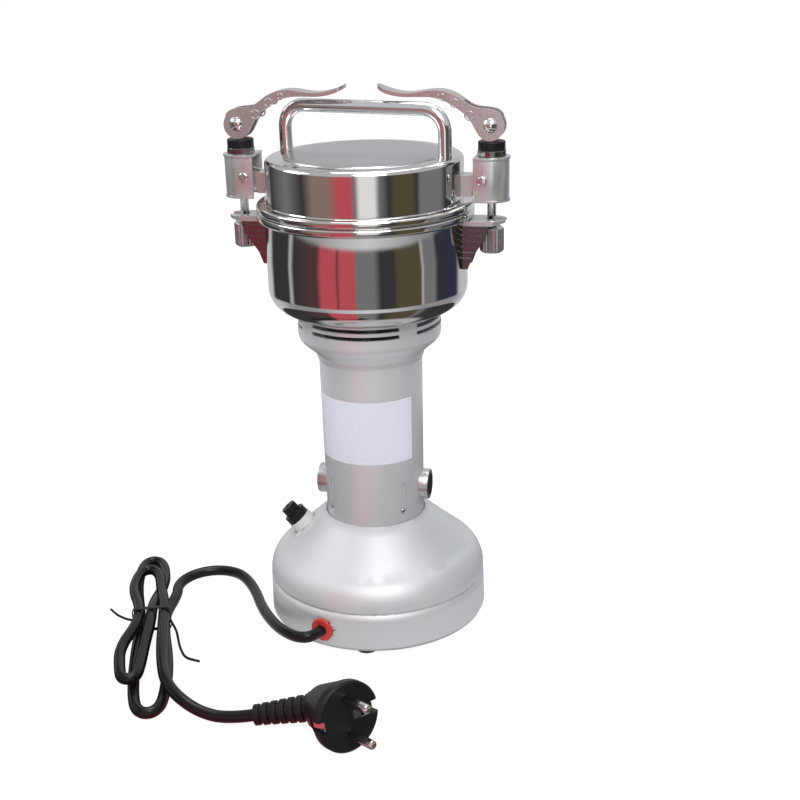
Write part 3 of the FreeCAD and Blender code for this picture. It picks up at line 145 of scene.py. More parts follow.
def ranged(tree, value, low, high):
    """Spread a 0 to 1 texture value over low to high."""
    spread = tree.nodes.new("ShaderNodeMapRange")
    spread.inputs["To Min"].default_value = low
    spread.inputs["To Max"].default_value = high
    spread.inputs["From Min"].default_value = 0.3
    spread.inputs["From Max"].default_value = 0.7
    tree.links.new(value, spread.inputs["Value"])
    return spread.outputs["Result"]


def raised(tree, shader, value, depth_mm, strength=1.0):
    """Bump the surface by a texture value."""
    bump = tree.nodes.new("ShaderNodeBump")
    bump.inputs["Strength"].default_value = strength
    bump.inputs["Distance"].default_value = depth_mm * MM
    tree.links.new(value, bump.inputs["Height"])
    if shader.inputs["Normal"].is_linked:
        tree.links.new(shader.inputs["Normal"].links[0].from_socket, bump.inputs["Normal"])
    tree.links.new(bump.outputs["Normal"], shader.inputs["Normal"])


def tinted(tree, shader, value, dark, light):
    """Vary the colour between two shades with a texture value."""
    mix = tree.nodes.new("ShaderNodeMix")
    mix.data_type = "RGBA"
    mix.inputs["A"].default_value = (*dark, 1.0)
    mix.inputs["B"].default_value = (*light, 1.0)
    tree.links.new(value, mix.inputs["Factor"])
    tree.links.new(mix.outputs["Result"], shader.inputs["Base Color"])


pvc, pvc_tree, pvc_shader = plain_material("black PVC", (0.005, 0.005, 0.006), 0.0, 0.24)
pvc_grain = noise(pvc_tree, place_texture(pvc_tree), 0.9, 3.0)
tinted(pvc_tree, pvc_shader, pvc_grain, (0.003, 0.003, 0.004), (0.007, 0.007, 0.008))
pvc_tree.links.new(ranged(pvc_tree, pvc_grain, 0.16, 0.30), pvc_shader.inputs["Roughness"])
raised(pvc_tree, pvc_shader, noise(pvc_tree, place_texture(pvc_tree), 2.2), 0.05, 0.5)
pvc_shader.inputs["Specular IOR Level"].default_value = 0.32

cord_route = [outward(62.0, -16.4, 14.0), outward(74.0, -16.4, 14.0)]
for x, y, z in ((-28.8, -73.6, 13.6), (-38.6, -67.4, 12.2), (-50.5, -53.8, 9.2), (-65.5, -30.8, 5.6),
                (-78.4, -5.3, 3.4), (-90.4, 10.4, cord_low), (-99.9, 15.9, cord_low),
                (-110.9, 16.4, cord_low), (-120.8, 11.5, cord_low), (-127.2, 2.7, cord_low)):
    cord_route.append(Vector((x, y, z)) * MM)
waist_low = cord_low + 0.6
waist_high = waist_low + cord_layer
cord_high = cord_low + cord_layer
cord_route += [in_hank(47.0, 13.9, cord_low), in_hank(35.0, 13.9, cord_low)]
for level, waist, lower, upper in (
        (cord_low, waist_low, (93.0, -8.5, 11.0, 46.0), (83.0, -11.5, 6.0, 50.0)),
        (cord_high, waist_high, (69.0, -16.5, -2.5, 36.0), (57.0, -12.5, 4.5, 32.0))):
    low_reach, low_left, low_right, low_place = lower
    high_reach, high_left, high_right, high_place = upper
    enter = cord_strand if level == cord_low else 0.0
    cord_route += [
        in_hank(10.0, enter, waist), in_hank(-10.0, enter, waist),
        in_hank(-low_place, low_right, level), in_hank(-low_reach + 9, low_right - 1.5, level),
        in_hank(-low_reach - 1, (low_left + low_right) / 2 + 3.5, level),
        in_hank(-low_reach - 1, (low_left + low_right) / 2 - 3.5, level),
        in_hank(-low_reach + 9, low_left + 1.5, level), in_hank(-low_place, low_left, level),
        in_hank(-10.0, -cord_strand, waist), in_hank(10.0, -cord_strand, waist),
        in_hank(high_place, high_left, level), in_hank(high_reach - 9, high_left + 1.5, level),
        in_hank(high_reach + 1, (high_left + high_right) / 2 - 3.5, level),
        in_hank(high_reach + 1, (high_left + high_right) / 2 + 3.5, level),
        in_hank(high_reach - 9, high_right - 1.0, level), in_hank(high_place, high_right, level)]
cord_route += [in_hank(12.0, cord_strand, waist_high), in_hank(-8.0, cord_strand, waist_high),
               in_hank(-20.0, cord_strand, waist_high),
               in_hank(-38.0, cord_strand, waist_high), in_hank(-57.0, 8.2, cord_high),
               in_hank(-75.0, 10.4, cord_high), in_hank(-90.0, 17.5, cord_high - 1.9),
               in_hank(-100.5, 29.5, cord_low + 1.3), in_hank(-106.5, 43.5, cord_low),
               Vector((-33.9, -140.9, 6.2)) * MM]

cord_curve = bpy.data.curves.new("mains_cord", "CURVE")
cord_curve.dimensions = "3D"
cord_curve.bevel_depth = cord_width / 2
cord_curve.bevel_resolution = 7
cord_curve.resolution_u = 14
cord_curve.use_fill_caps = True
cord_spline = cord_curve.splines.new("NURBS")
cord_spline.points.add(len(cord_route) - 1)
for point, place in zip(cord_spline.points, cord_route):
    point.co = (*place, 1.0)
cord_spline.order_u = 3
cord_spline.use_endpoint_u = True
cord = bpy.data.objects.new("mains_cord", cord_curve)
bpy.context.scene.collection.objects.link(cord)
cord.data.materials.append(pvc)
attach(cord, "base")
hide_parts("cord_lead", "cord_hank", "cord_tail")

# Wire tie, a plastic-covered wire twisted once round the waist of the hank, with two loose ends. It keeps
# the node's own shape.


def picked(piece):
    """Make a piece the active one and the only one selected."""
    bpy.ops.object.select_all(action="DESELECT")
    bpy.context.view_layer.objects.active = piece
    piece.select_set(True)


def smooth_copy(node, name, material, ease_mm=0.0, angle=38.0):
    """A piece with a node's surface: doubles merged, flat faces joined, corners eased, curves smooth."""
    source = frame["nodes"][node]
    piece = bpy.data.objects.new(name, source.data.copy())
    bpy.context.scene.collection.objects.link(piece)
    picked(piece)
    bpy.ops.object.mode_set(mode="EDIT")
    bpy.ops.mesh.select_all(action="SELECT")
    bpy.ops.mesh.remove_doubles(threshold=0.000002)
    if ease_mm:
        bpy.ops.mesh.dissolve_limited(angle_limit=math.radians(0.6))
    bpy.ops.object.mode_set(mode="OBJECT")
    if ease_mm:
        bevel = piece.modifiers.new("eased corners", "BEVEL")
        bevel.width = ease_mm * MM
        bevel.segments = 2
        bevel.limit_method = "ANGLE"
        bevel.angle_limit = math.radians(32)
        bpy.ops.object.modifier_apply(modifier=bevel.name)
    bpy.ops.object.shade_smooth_by_angle(angle=math.radians(angle))
    if ease_mm:
        even = piece.modifiers.new("even shading", "WEIGHTED_NORMAL")
        even.keep_sharp = True
        even.weight = 100
        bpy.ops.object.modifier_apply(modifier=even.name)
    piece.data.materials.clear()
    piece.data.materials.append(material)
    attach(piece, source["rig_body"])
    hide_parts(node)
    return piece


tie = smooth_copy("cord_tie", "wire_tie", pvc)

# Strain relief and plug, moulded in one black rubbery plastic: a ribbed tail, an angled body with a round
# face, two nickel pins and two earth clips in its side notches.
moulded, moulded_tree, moulded_shader = plain_material("moulded black plastic", (0.005, 0.005, 0.006),
                                                       0.0, 0.38)
moulded_grain = noise(moulded_tree, place_texture(moulded_tree), 3.5, 4.0)
tinted(moulded_tree, moulded_shader, moulded_grain, (0.004, 0.004, 0.005), (0.009, 0.009, 0.011))
moulded_shader.inputs["Specular IOR Level"].default_value = 0.3
moulded_tree.links.new(ranged(moulded_tree, moulded_grain, 0.30, 0.46), moulded_shader.inputs["Roughness"])
raised(moulded_tree, moulded_shader, moulded_grain, 0.04, 0.6)
relief = smooth_copy("plug_strain_relief", "strain_relief", moulded, 0.25)
plug = smooth_copy("plug_body", "plug_moulding", moulded, 0.5)
nickel, nickel_tree, nickel_shader = plain_material("bright nickel", (0.80, 0.77, 0.72), 1.0, 0.12)
nickel_wear = noise(nickel_tree, place_texture(nickel_tree, (1, 1, 0.2)), 2.5, 3.0)
nickel_tree.links.new(ranged(nickel_tree, nickel_wear, 0.08, 0.2), nickel_shader.inputs["Roughness"])
pins = smooth_copy("plug_pins", "plug_pin_pair", nickel)
clips = smooth_copy("plug_earth_clips", "plug_earth_clip_pair", nickel, 0.15)

# Cord grommet, a ring of red plastic that is snapped into the rim of the base, so that the cord can't
# chafe on the sheet.
red, red_tree, red_shader = plain_material("red plastic", (0.50, 0.025, 0.02), 0.0, 0.33)
red_grain = noise(red_tree, place_texture(red_tree), 1.4, 3.0)
tinted(red_tree, red_shader, red_grain, (0.42, 0.02, 0.018), (0.60, 0.04, 0.03))
raised(red_tree, red_shader, red_grain, 0.05, 0.4)
smooth_copy("cord_grommet", "red_grommet", red)

# Base shell, spun from sheet aluminium and sprayed silver: an upright rim, a seam, a rounded shoulder, a
# straight cone and the sunk seat of the column.
silver, silver_tree, silver_shader = plain_material("silver paint", (0.64, 0.65, 0.66), 0.6, 0.5)
silver_place = place_texture(silver_tree)
flake = noise(silver_tree, silver_place, 6.0, 2.0)
tinted(silver_tree, silver_shader, flake, (0.60, 0.61, 0.62), (0.70, 0.71, 0.72))
silver_tree.links.new(ranged(silver_tree, noise(silver_tree, silver_place, 0.35), 0.46, 0.54),
                      silver_shader.inputs["Roughness"])
raised(silver_tree, silver_shader, flake, 0.03, 0.35)


def arc_points(centre_r, centre_z, radius, first, last, steps=6):
    """Outline points on a round corner, from one angle to another in degrees."""
    points = []
    for step in range(steps + 1):
        angle = math.radians(first + (last - first) * step / steps)
        points.append((centre_r + radius * math.cos(angle), centre_z + radius * math.sin(angle)))
    return points


def turned(name, outline, sides, closed=True):
    """A ring of the first outline point, extruded through the others, with radii and heights in mm."""
    bpy.ops.object.select_all(action="DESELECT")
    radius, height = outline[0]
    bpy.ops.mesh.primitive_circle_add(vertices=sides, radius=radius * MM, location=(0, 0, height * MM))
    piece = bpy.context.object
    piece.name = name
    bpy.ops.object.transform_apply(location=True)
    bpy.ops.object.mode_set(mode="EDIT")
    bpy.ops.mesh.select_all(action="SELECT")
    for next_radius, next_height in outline[1:]:
        bpy.ops.mesh.extrude_region_move(
            TRANSFORM_OT_translate={"value": (0, 0, (next_height - height) * MM)})
        share = next_radius / radius
        bpy.ops.transform.resize(value=(share, share, 1), center_override=(0, 0, next_height * MM))
        radius, height = next_radius, next_height
    if closed:
        bpy.ops.object.mode_set(mode="OBJECT")
        count = len(piece.data.vertices)
        ends = set(range(sides)) | set(range(count - sides, count))
        bpy.ops.object.mode_set(mode="EDIT")
        bpy.ops.mesh.select_mode(type="EDGE")
        bpy.ops.mesh.select_all(action="DESELECT")
        bpy.ops.object.mode_set(mode="OBJECT")
        for edge in piece.data.edges:
            if edge.vertices[0] in ends and edge.vertices[1] in ends:
                edge.select = True
        bpy.ops.object.mode_set(mode="EDIT")
        bpy.ops.mesh.bridge_edge_loops()
    bpy.ops.mesh.select_all(action="SELECT")
    bpy.ops.mesh.normals_make_consistent(inside=False)
    bpy.ops.object.mode_set(mode="OBJECT")
    return piece


def finished(piece, material, slot, body, *nodes, angle=32.0):
    """Shade, paint and mount a finished piece in place of the nodes it stands for."""
    picked(piece)
    bpy.ops.object.shade_smooth_by_angle(angle=math.radians(angle))
    if not piece.data.materials:
        piece.data.materials.append(material)
    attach(piece, body)
    if nodes:
        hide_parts(*nodes)
    return piece


def cut_out(piece, tool):
    """Cut a tool's shape out of a piece and remove the tool."""
    picked(piece)
    cutter = piece.modifiers.new("cut", "BOOLEAN")
    cutter.operation = "DIFFERENCE"
    cutter.object = tool
    cutter.solver = "EXACT"
    bpy.ops.object.modifier_apply(modifier=cutter.name)
    bpy.data.objects.remove(tool, do_unlink=True)


smooth_copy("base_shell", "base_shell_spun", silver, 0.0, 30.0)

# Base plate, its screws and the four rubber feet, which show only from below, apart from one black foot
# under the front edge.
zinc, zinc_tree, zinc_shader = plain_material("zinc plated steel", (0.62, 0.62, 0.63), 1.0, 0.34)
zinc_grain = noise(zinc_tree, place_texture(zinc_tree), 1.6, 4.0)
tinted(zinc_tree, zinc_shader, zinc_grain, (0.54, 0.54, 0.55), (0.70, 0.70, 0.71))
zinc_tree.links.new(ranged(zinc_tree, zinc_grain, 0.26, 0.44), zinc_shader.inputs["Roughness"])
rubber, rubber_tree, rubber_shader = plain_material("black rubber", (0.018, 0.018, 0.018), 0.0, 0.62)
rubber_grain = noise(rubber_tree, place_texture(rubber_tree), 2.8, 4.0)
tinted(rubber_tree, rubber_shader, rubber_grain, (0.012, 0.012, 0.012), (0.028, 0.028, 0.028))
raised(rubber_tree, rubber_shader, rubber_grain, 0.06, 0.5)
smooth_copy("base_plate", "base_plate_sheet", zinc)
smooth_copy("base_screws", "base_screw_set", zinc)
smooth_copy("feet", "rubber_feet", rubber, 0.4)

# Fuse holder and rocker switch. The fuse cap is a black knob that a quarter turn frees; the collar is grey
# plastic. The rocker stands on the far side of the cone.
grey, grey_tree, grey_shader = plain_material("grey plastic", (0.60, 0.60, 0.58), 0.0, 0.42)
grey_grain = noise(grey_tree, place_texture(grey_tree), 2.4, 3.0)
tinted(grey_tree, grey_shader, grey_grain, (0.55, 0.55, 0.53), (0.64, 0.64, 0.62))
smooth_copy("fuse_holder", "fuse_collar", grey, 0.3)
smooth_copy("fuse_cap", "fuse_cap_knob", moulded, 0.25)
glass, glass_tree, glass_shader = plain_material("fuse glass", (0.85, 0.88, 0.88), 0.0, 0.05)
glass_shader.inputs["Transmission Weight"].default_value = 0.8
glass_haze = noise(glass_tree, place_texture(glass_tree), 1.0)
glass_tree.links.new(ranged(glass_tree, glass_haze, 0.03, 0.09), glass_shader.inputs["Roughness"])
smooth_copy("fuse", "glass_fuse", glass)
smooth_copy("switch_frame", "switch_bezel", moulded, 0.3)
smooth_copy("switch_rocker", "switch_rocker_cap", moulded, 0.3)

# Motor column, a drawn aluminium tube sprayed silver, that flares out into the slotted vent head under the
# bowl.
satin, satin_tree, satin_shader = plain_material("satin column paint", (0.62, 0.62, 0.63), 0.55, 0.38)
satin_place = place_texture(satin_tree, (1, 1, 0.3))
satin_flake = noise(satin_tree, satin_place, 5.0, 2.0)
tinted(satin_tree, satin_shader, satin_flake, (0.58, 0.58, 0.59), (0.68, 0.68, 0.69))
satin_tree.links.new(ranged(satin_tree, noise(satin_tree, satin_place, 0.3), 0.34, 0.42),
                     satin_shader.inputs["Roughness"])
raised(satin_tree, satin_shader, satin_flake, 0.02, 0.3)


def part_ring(name, corners, first, last, steps):
    """A solid swept round the Z axis between two bearings, from its section's radii and heights in mm."""
    bpy.ops.object.select_all(action="DESELECT")
    bpy.ops.mesh.primitive_plane_add(size=1)
    piece = bpy.context.object
    piece.name = name
    in_plane_order = (corners[0], corners[1], corners[3], corners[2])
    for vertex, (radius, height) in zip(piece.data.vertices, in_plane_order):
        vertex.co = outward(radius, first, height)
    bpy.ops.object.mode_set(mode="EDIT")
    bpy.ops.mesh.select_all(action="SELECT")
    bpy.ops.mesh.spin(steps=steps, angle=math.radians(last - first), center=(0, 0, 0), axis=(0, 0, -1))
    bpy.ops.mesh.select_all(action="SELECT")
    bpy.ops.mesh.remove_doubles(threshold=0.000001)
    bpy.ops.mesh.normals_make_consistent(inside=False)
    bpy.ops.object.mode_set(mode="OBJECT")
    return piece


def turned_over(piece, angle, axis):
    """Turn a piece about an axis through the origin, with the turn kept in its mesh."""
    picked(piece)
    bpy.ops.transform.rotate(value=math.radians(angle), orient_axis=axis, center_override=(0, 0, 0))
    bpy.ops.object.transform_apply(location=True, rotation=True, scale=True)
    return piece


def moved(piece, x, y, z):
    """Move a piece by millimetres, with the move kept in its mesh."""
    picked(piece)
    bpy.ops.transform.translate(value=(x * MM, y * MM, z * MM))
    bpy.ops.object.transform_apply(location=True, rotation=True, scale=True)
    return piece


column_outline = [
    (28.9, 58.0), (29.8, 160.3), (30.3, 160.8), (30.7, 161.7), (31.1, 164.2), (32.8, 166.2), (34.6, 168.0),
    (36.7, 169.85), (38.8, 171.6), (39.7, 172.6), (40.4, 173.8), (40.8, 175.3), (41.0, 177.0), (41.0, 188.8),
    (40.85, 189.25), (40.6, 189.6), (40.25, 189.88), (39.8, 190.0), (18.0, 190.0), (18.0, 188.6),
    (39.4, 188.6), (39.4, 177.5), (37.0, 172.6), (33.0, 169.2), (27.2, 164.6), (27.2, 58.0)]
column = turned("column_tube", column_outline, 180)
slot_inner_r = 38.4
slot_outer_r = 43.0
slot_half_deg = 37
for slot_low, slot_high in ((181.4, 183.6), (185.6, 187.8)):
    slot_section = ((slot_inner_r, slot_low), (slot_outer_r, slot_low), (slot_outer_r, slot_high),
                    (slot_inner_r, slot_high))
    for quarter in range(4):
        slot_middle = 90.0 * quarter
        cut_out(column, part_ring("slot_cutter", slot_section, slot_middle - slot_half_deg,
                                  slot_middle + slot_half_deg, 24))
groove_r = 2.3
groove_depth = 3.0
groove_run = 15.4
groove_out = 29.5
groove_z = 71.8
for bearing in (48.0, 132.0, 228.0, 312.0):
    bpy.ops.mesh.primitive_cylinder_add(vertices=32, radius=groove_r * MM, depth=groove_depth * MM,
                                        location=(0, 0, 0))
    groove = bpy.context.object
    for vertex in groove.data.vertices:
        if vertex.co.y < 0:
            vertex.co.y -= groove_run * MM
    turned_over(groove, 90, "X")
    moved(groove, 0, -groove_out, groove_z)
    turned_over(groove, bearing, "Z")
    cut_out(column, groove)
brush_hole_r = 6.7
brush_z = 81.5
for side_x in (-1, 1):
    bpy.ops.mesh.primitive_cylinder_add(vertices=64, radius=brush_hole_r * MM, depth=20 * MM,
                                        location=(0, 0, 0))
    brush_hole = turned_over(bpy.context.object, 90, "Y")
    moved(brush_hole, side_x * 30, 0, brush_z)
    cut_out(column, brush_hole)
    boss = turned("brush_boss_" + ("right" if side_x > 0 else "left"),
                  [(brush_hole_r, 27.6), (brush_hole_r, 33.3), (6.9, 33.6), (8.3, 33.6), (8.8, 33.4),
                   (9.0, 32.9), (9.0, 27.6)], 64)
    turned_over(boss, side_x * 90, "Y")
    moved(boss, 0, 0, brush_z)
    finished(boss, zinc, "silver_paint", "base", "motor_column")
finished(column, satin, "silver_paint", "base", "motor_column", angle=28.0)
smooth_copy("column_screws", "column_screw_heads", zinc)

# Rating label on the left front of the column, a bare sticker of silver-violet film that follows the
# tube's slight taper.
film, film_tree, film_shader = plain_material("sticker film", (0.52, 0.52, 0.54), 0.0, 0.4)
film_grain = noise(film_tree, place_texture(film_tree), 0.5, 3.0)
tinted(film_tree, film_shader, film_grain, (0.53, 0.53, 0.59), (0.60, 0.60, 0.66))
film_tree.links.new(ranged(film_tree, film_grain, 0.28, 0.40), film_shader.inputs["Roughness"])
sticker_section = ((29.31, 103.5), (29.42, 103.5), (29.75, 141.5), (29.64, 141.5))
sticker = part_ring("bare_label", sticker_section, -70, 62, 60)
finished(sticker, film, "silver_paint", "base")

# Bowl, drawn from stainless sheet and mirror polished, with a rounded bottom corner and a rolled bead
# round its rim.
mirror, mirror_tree, mirror_shader = plain_material("mirror polished steel", (0.70, 0.68, 0.66), 1.0, 0.06)
wipe = noise(mirror_tree, place_texture(mirror_tree, (1, 1, 0.05)), 0.6, 3.0)
mirror_tree.links.new(ranged(mirror_tree, wipe, 0.035, 0.09), mirror_shader.inputs["Roughness"])
dents = noise(mirror_tree, place_texture(mirror_tree, (1, 1, 0.25)), 0.06)
raised(mirror_tree, mirror_shader, dents, 0.25, 0.25)
bowl_outline = [(10.95, 190.0), (42.3, 190.0)]
bowl_outline += arc_points(42.3, 204.0, 14.0, -82, 0, 14)
bowl_outline += [(56.3, 223.0), (56.3, 242.0), (56.45, 242.4), (58.8, 242.4)]
bowl_outline += arc_points(58.8, 244.0, 1.6, -75, 0, 6)
bowl_outline += arc_points(58.8, 245.4, 1.6, 0, 90, 6)
bowl_outline += [(55.1, 247.0), (55.1, 225.0), (55.1, 204.0)]
bowl_outline += arc_points(42.3, 204.0, 12.8, 0, -90, 10)[1:]
bowl_outline += [(10.95, 191.2)]
finished(turned("bowl_drawn", bowl_outline, 192), mirror, "polished_steel", "base", "bowl")
smooth_copy("bowl_screws", "bowl_screw_set", zinc, 0.2)

# Lid, drawn from the same sheet: a bead that rests on the bowl's, an upright wall, a rounded corner and a
# raised panel that is spun in fine rings.
spun, spun_tree, spun_shader = plain_material("spun steel panel", (0.50, 0.49, 0.49), 1.0, 0.30)
rings = spun_tree.nodes.new("ShaderNodeTexWave")
rings.wave_type = "RINGS"
rings.rings_direction = "Z"
rings.inputs["Scale"].default_value = 0.9
rings.inputs["Distortion"].default_value = 1.2
rings.inputs["Detail"].default_value = 3.0
spun_tree.links.new(place_texture(spun_tree), rings.inputs["Vector"])
spun_tree.links.new(ranged(spun_tree, rings.outputs["Fac"], 0.24, 0.36), spun_shader.inputs["Roughness"])
raised(spun_tree, spun_shader, rings.outputs["Fac"], 0.02, 0.2)
lid_outline = [(53.3, 247.0), (58.8, 247.0)]
lid_outline += arc_points(58.8, 248.6, 1.6, -75, 0, 6)
lid_outline += arc_points(58.8, 249.8, 1.6, 0, 90, 6)
lid_outline += [(55.1, 251.4), (54.7, 251.9), (54.7, 262.0), (54.7, 272.8)]
lid_outline += arc_points(51.7, 272.8, 3.0, 12, 90, 7)
lid_outline += [(45.3, 275.8), (44.8, 276.0), (44.5, 276.6), (43.9, 276.7), (30.0, 276.7), (15.0, 276.7),
                (0.02, 276.7), (0.02, 274.4), (30.0, 274.4), (51.7, 274.4)]
lid_outline += arc_points(51.7, 272.8, 1.6, 75, 0, 5)
panel_low = 0.2755
panel_reach = 0.0447
lid = turned("lid_drawn", lid_outline, 192)
lid.data.materials.append(mirror)
lid.data.materials.append(spun)
for face in lid.data.polygons:
    middle = face.center
    if middle.z > panel_low and math.hypot(middle.x, middle.y) < panel_reach:
        face.material_index = 1
finished(lid, mirror, "polished_steel", "base", "lid")

# Lid seal and shaft seal, moulded in white silicone rubber. One seats in the lid, the other round the
# motor shaft.
silicone, silicone_tree, silicone_shader = plain_material("white silicone", (0.80, 0.80, 0.78), 0.0, 0.5)
silicone_grain = noise(silicone_tree, place_texture(silicone_tree), 1.2, 3.0)
tinted(silicone_tree, silicone_shader, silicone_grain, (0.74, 0.74, 0.72), (0.86, 0.86, 0.84))
smooth_copy("lid_seal", "lid_seal_ring", silicone, 0.2)
smooth_copy("shaft_seal", "shaft_seal_cone", silicone, 0.2)

# Carrying handle, a chromed steel rod bent round two corners. Its legs end in the lid's raised panel, and
# it stands turned a little about the mill's axis.
chrome, chrome_tree, chrome_shader = plain_material("bright chrome", (0.82, 0.81, 0.81), 1.0, 0.07)
chrome_wipe = noise(chrome_tree, place_texture(chrome_tree), 0.5, 3.0)
chrome_tree.links.new(ranged(chrome_tree, chrome_wipe, 0.05, 0.13), chrome_shader.inputs["Roughness"])
handle_r = 3.7
handle_reach = 47.9
handle_foot = 275.0
handle_top = 301.4
handle_bend = 12.0
handle_turn = math.radians(-11.5)
bpy.ops.mesh.primitive_circle_add(vertices=32, radius=handle_r * MM,
                                  location=(-handle_reach * MM, 0, handle_foot * MM))
handle = bpy.context.object
handle.name = "handle_rod"
bpy.ops.object.transform_apply(location=True)
bend_out = (handle_reach - handle_bend) * MM
bend_up = (handle_top - handle_bend) * MM
bpy.ops.object.mode_set(mode="EDIT")
bpy.ops.mesh.select_all(action="SELECT")
bpy.ops.mesh.extrude_region_move(TRANSFORM_OT_translate={"value": (0, 0, bend_up - handle_foot * MM)})
bpy.ops.mesh.spin(steps=14, angle=math.radians(90), center=(-bend_out, 0, bend_up), axis=(0, -1, 0))
bpy.ops.mesh.extrude_region_move(TRANSFORM_OT_translate={"value": (2 * bend_out, 0, 0)})
bpy.ops.mesh.spin(steps=14, angle=math.radians(90), center=(bend_out, 0, bend_up), axis=(0, -1, 0))
bpy.ops.mesh.extrude_region_move(TRANSFORM_OT_translate={"value": (0, 0, handle_foot * MM - bend_up)})
bpy.ops.mesh.select_all(action="SELECT")
bpy.ops.mesh.normals_make_consistent(inside=False)
bpy.ops.object.mode_set(mode="OBJECT")
for vertex in handle.data.vertices:
    vertex.co = Matrix.Rotation(handle_turn, 3, "Z") @ vertex.co
finished(handle, chrome, "bright_chrome", "base", "handle", angle=50.0)

# Clamps, one on each side: a fork on the bowl, a lug on the lid, a folded box that swings on the lug's
# rivet, a rod with a knurled nut, and the cam lever that draws the rod up.
boxed, boxed_tree, boxed_shader = plain_material("polished clamp steel", (0.60, 0.61, 0.60), 0.8, 0.30)
boxed_grain = noise(boxed_tree, place_texture(boxed_tree, (1, 1, 0.08)), 1.4, 4.0)
boxed_tree.links.new(ranged(boxed_tree, boxed_grain, 0.26, 0.36), boxed_shader.inputs["Roughness"])
raised(boxed_tree, boxed_shader, noise(boxed_tree, place_texture(boxed_tree), 0.12), 0.12, 0.2)
lever_steel, lever_tree, lever_shader = plain_material("chromed lever", (0.50, 0.45, 0.44), 0.75, 0.28)
lever_grain = noise(lever_tree, place_texture(lever_tree), 0.8, 3.0)
tinted(lever_tree, lever_shader, lever_grain, (0.44, 0.40, 0.39), (0.56, 0.52, 0.51))
lever_tree.links.new(ranged(lever_tree, lever_grain, 0.24, 0.33), lever_shader.inputs["Roughness"])
gunmetal, gunmetal_tree, gunmetal_shader = plain_material("dark collar steel", (0.20, 0.20, 0.20), 1.0, 0.2)
gunmetal_grain = noise(gunmetal_tree, place_texture(gunmetal_tree), 1.2, 3.0)
tinted(gunmetal_tree, gunmetal_shader, gunmetal_grain, (0.15, 0.15, 0.15), (0.27, 0.27, 0.26))
smooth_copy("lid_lugs", "lid_lug_pair", boxed, 0.3)
smooth_copy("swing_rivets", "swing_rivet_pair", chrome)
smooth_copy("fork_plates", "fork_plate_pair", boxed, 0.2)
smooth_copy("fork_brackets", "fork_bracket_pair", gunmetal, 0.12)


def channel(name, inner_x, rod_x, half_width, wall, low, high):
    """A channel folded round the rod in a half circle and open towards the lid, with its place in mm."""
    bpy.ops.object.select_all(action="DESELECT")
    bpy.ops.mesh.primitive_plane_add(size=1)
    piece = bpy.context.object
    piece.name = name
    for vertex, (y, z) in zip(piece.data.vertices, ((-half_width, low), (-half_width + wall, low),
                                                    (-half_width, high), (-half_width + wall, high))):
        vertex.co = Vector((inner_x, y, z)) * MM
    bpy.ops.object.mode_set(mode="EDIT")
    bpy.ops.mesh.select_all(action="SELECT")
    bpy.ops.mesh.extrude_region_move(TRANSFORM_OT_translate={"value": ((rod_x - inner_x) * MM, 0, 0)})
    bpy.ops.mesh.spin(steps=28, angle=math.radians(180), center=(rod_x * MM, 0, 0), axis=(0, 0, -1))
    bpy.ops.mesh.extrude_region_move(TRANSFORM_OT_translate={"value": ((inner_x - rod_x) * MM, 0, 0)})
    bpy.ops.mesh.select_all(action="SELECT")
    bpy.ops.mesh.remove_doubles(threshold=0.000001)
    bpy.ops.mesh.normals_make_consistent(inside=False)
    bpy.ops.object.mode_set(mode="OBJECT")
    return piece


def joined(name, *pieces):
    """Make one piece of several."""
    bpy.ops.object.select_all(action="DESELECT")
    for piece in pieces:
        piece.select_set(True)
    bpy.context.view_layer.objects.active = pieces[0]
    bpy.ops.object.join()
    pieces[0].name = name
    return pieces[0]


def cheeked(name, lever_half, x, z, ring_r):
    """A raised ring on each cheek of a lever."""
    rings = []
    for cheek in (-1, 1):
        bpy.ops.mesh.primitive_torus_add(major_segments=32, minor_segments=10, major_radius=ring_r * MM,
                                         minor_radius=0.42 * MM, location=(0, 0, 0))
        ring = turned_over(bpy.context.object, 90, "X")
        rings.append(moved(ring, x, cheek * lever_half, z))
    return joined(name, *rings)


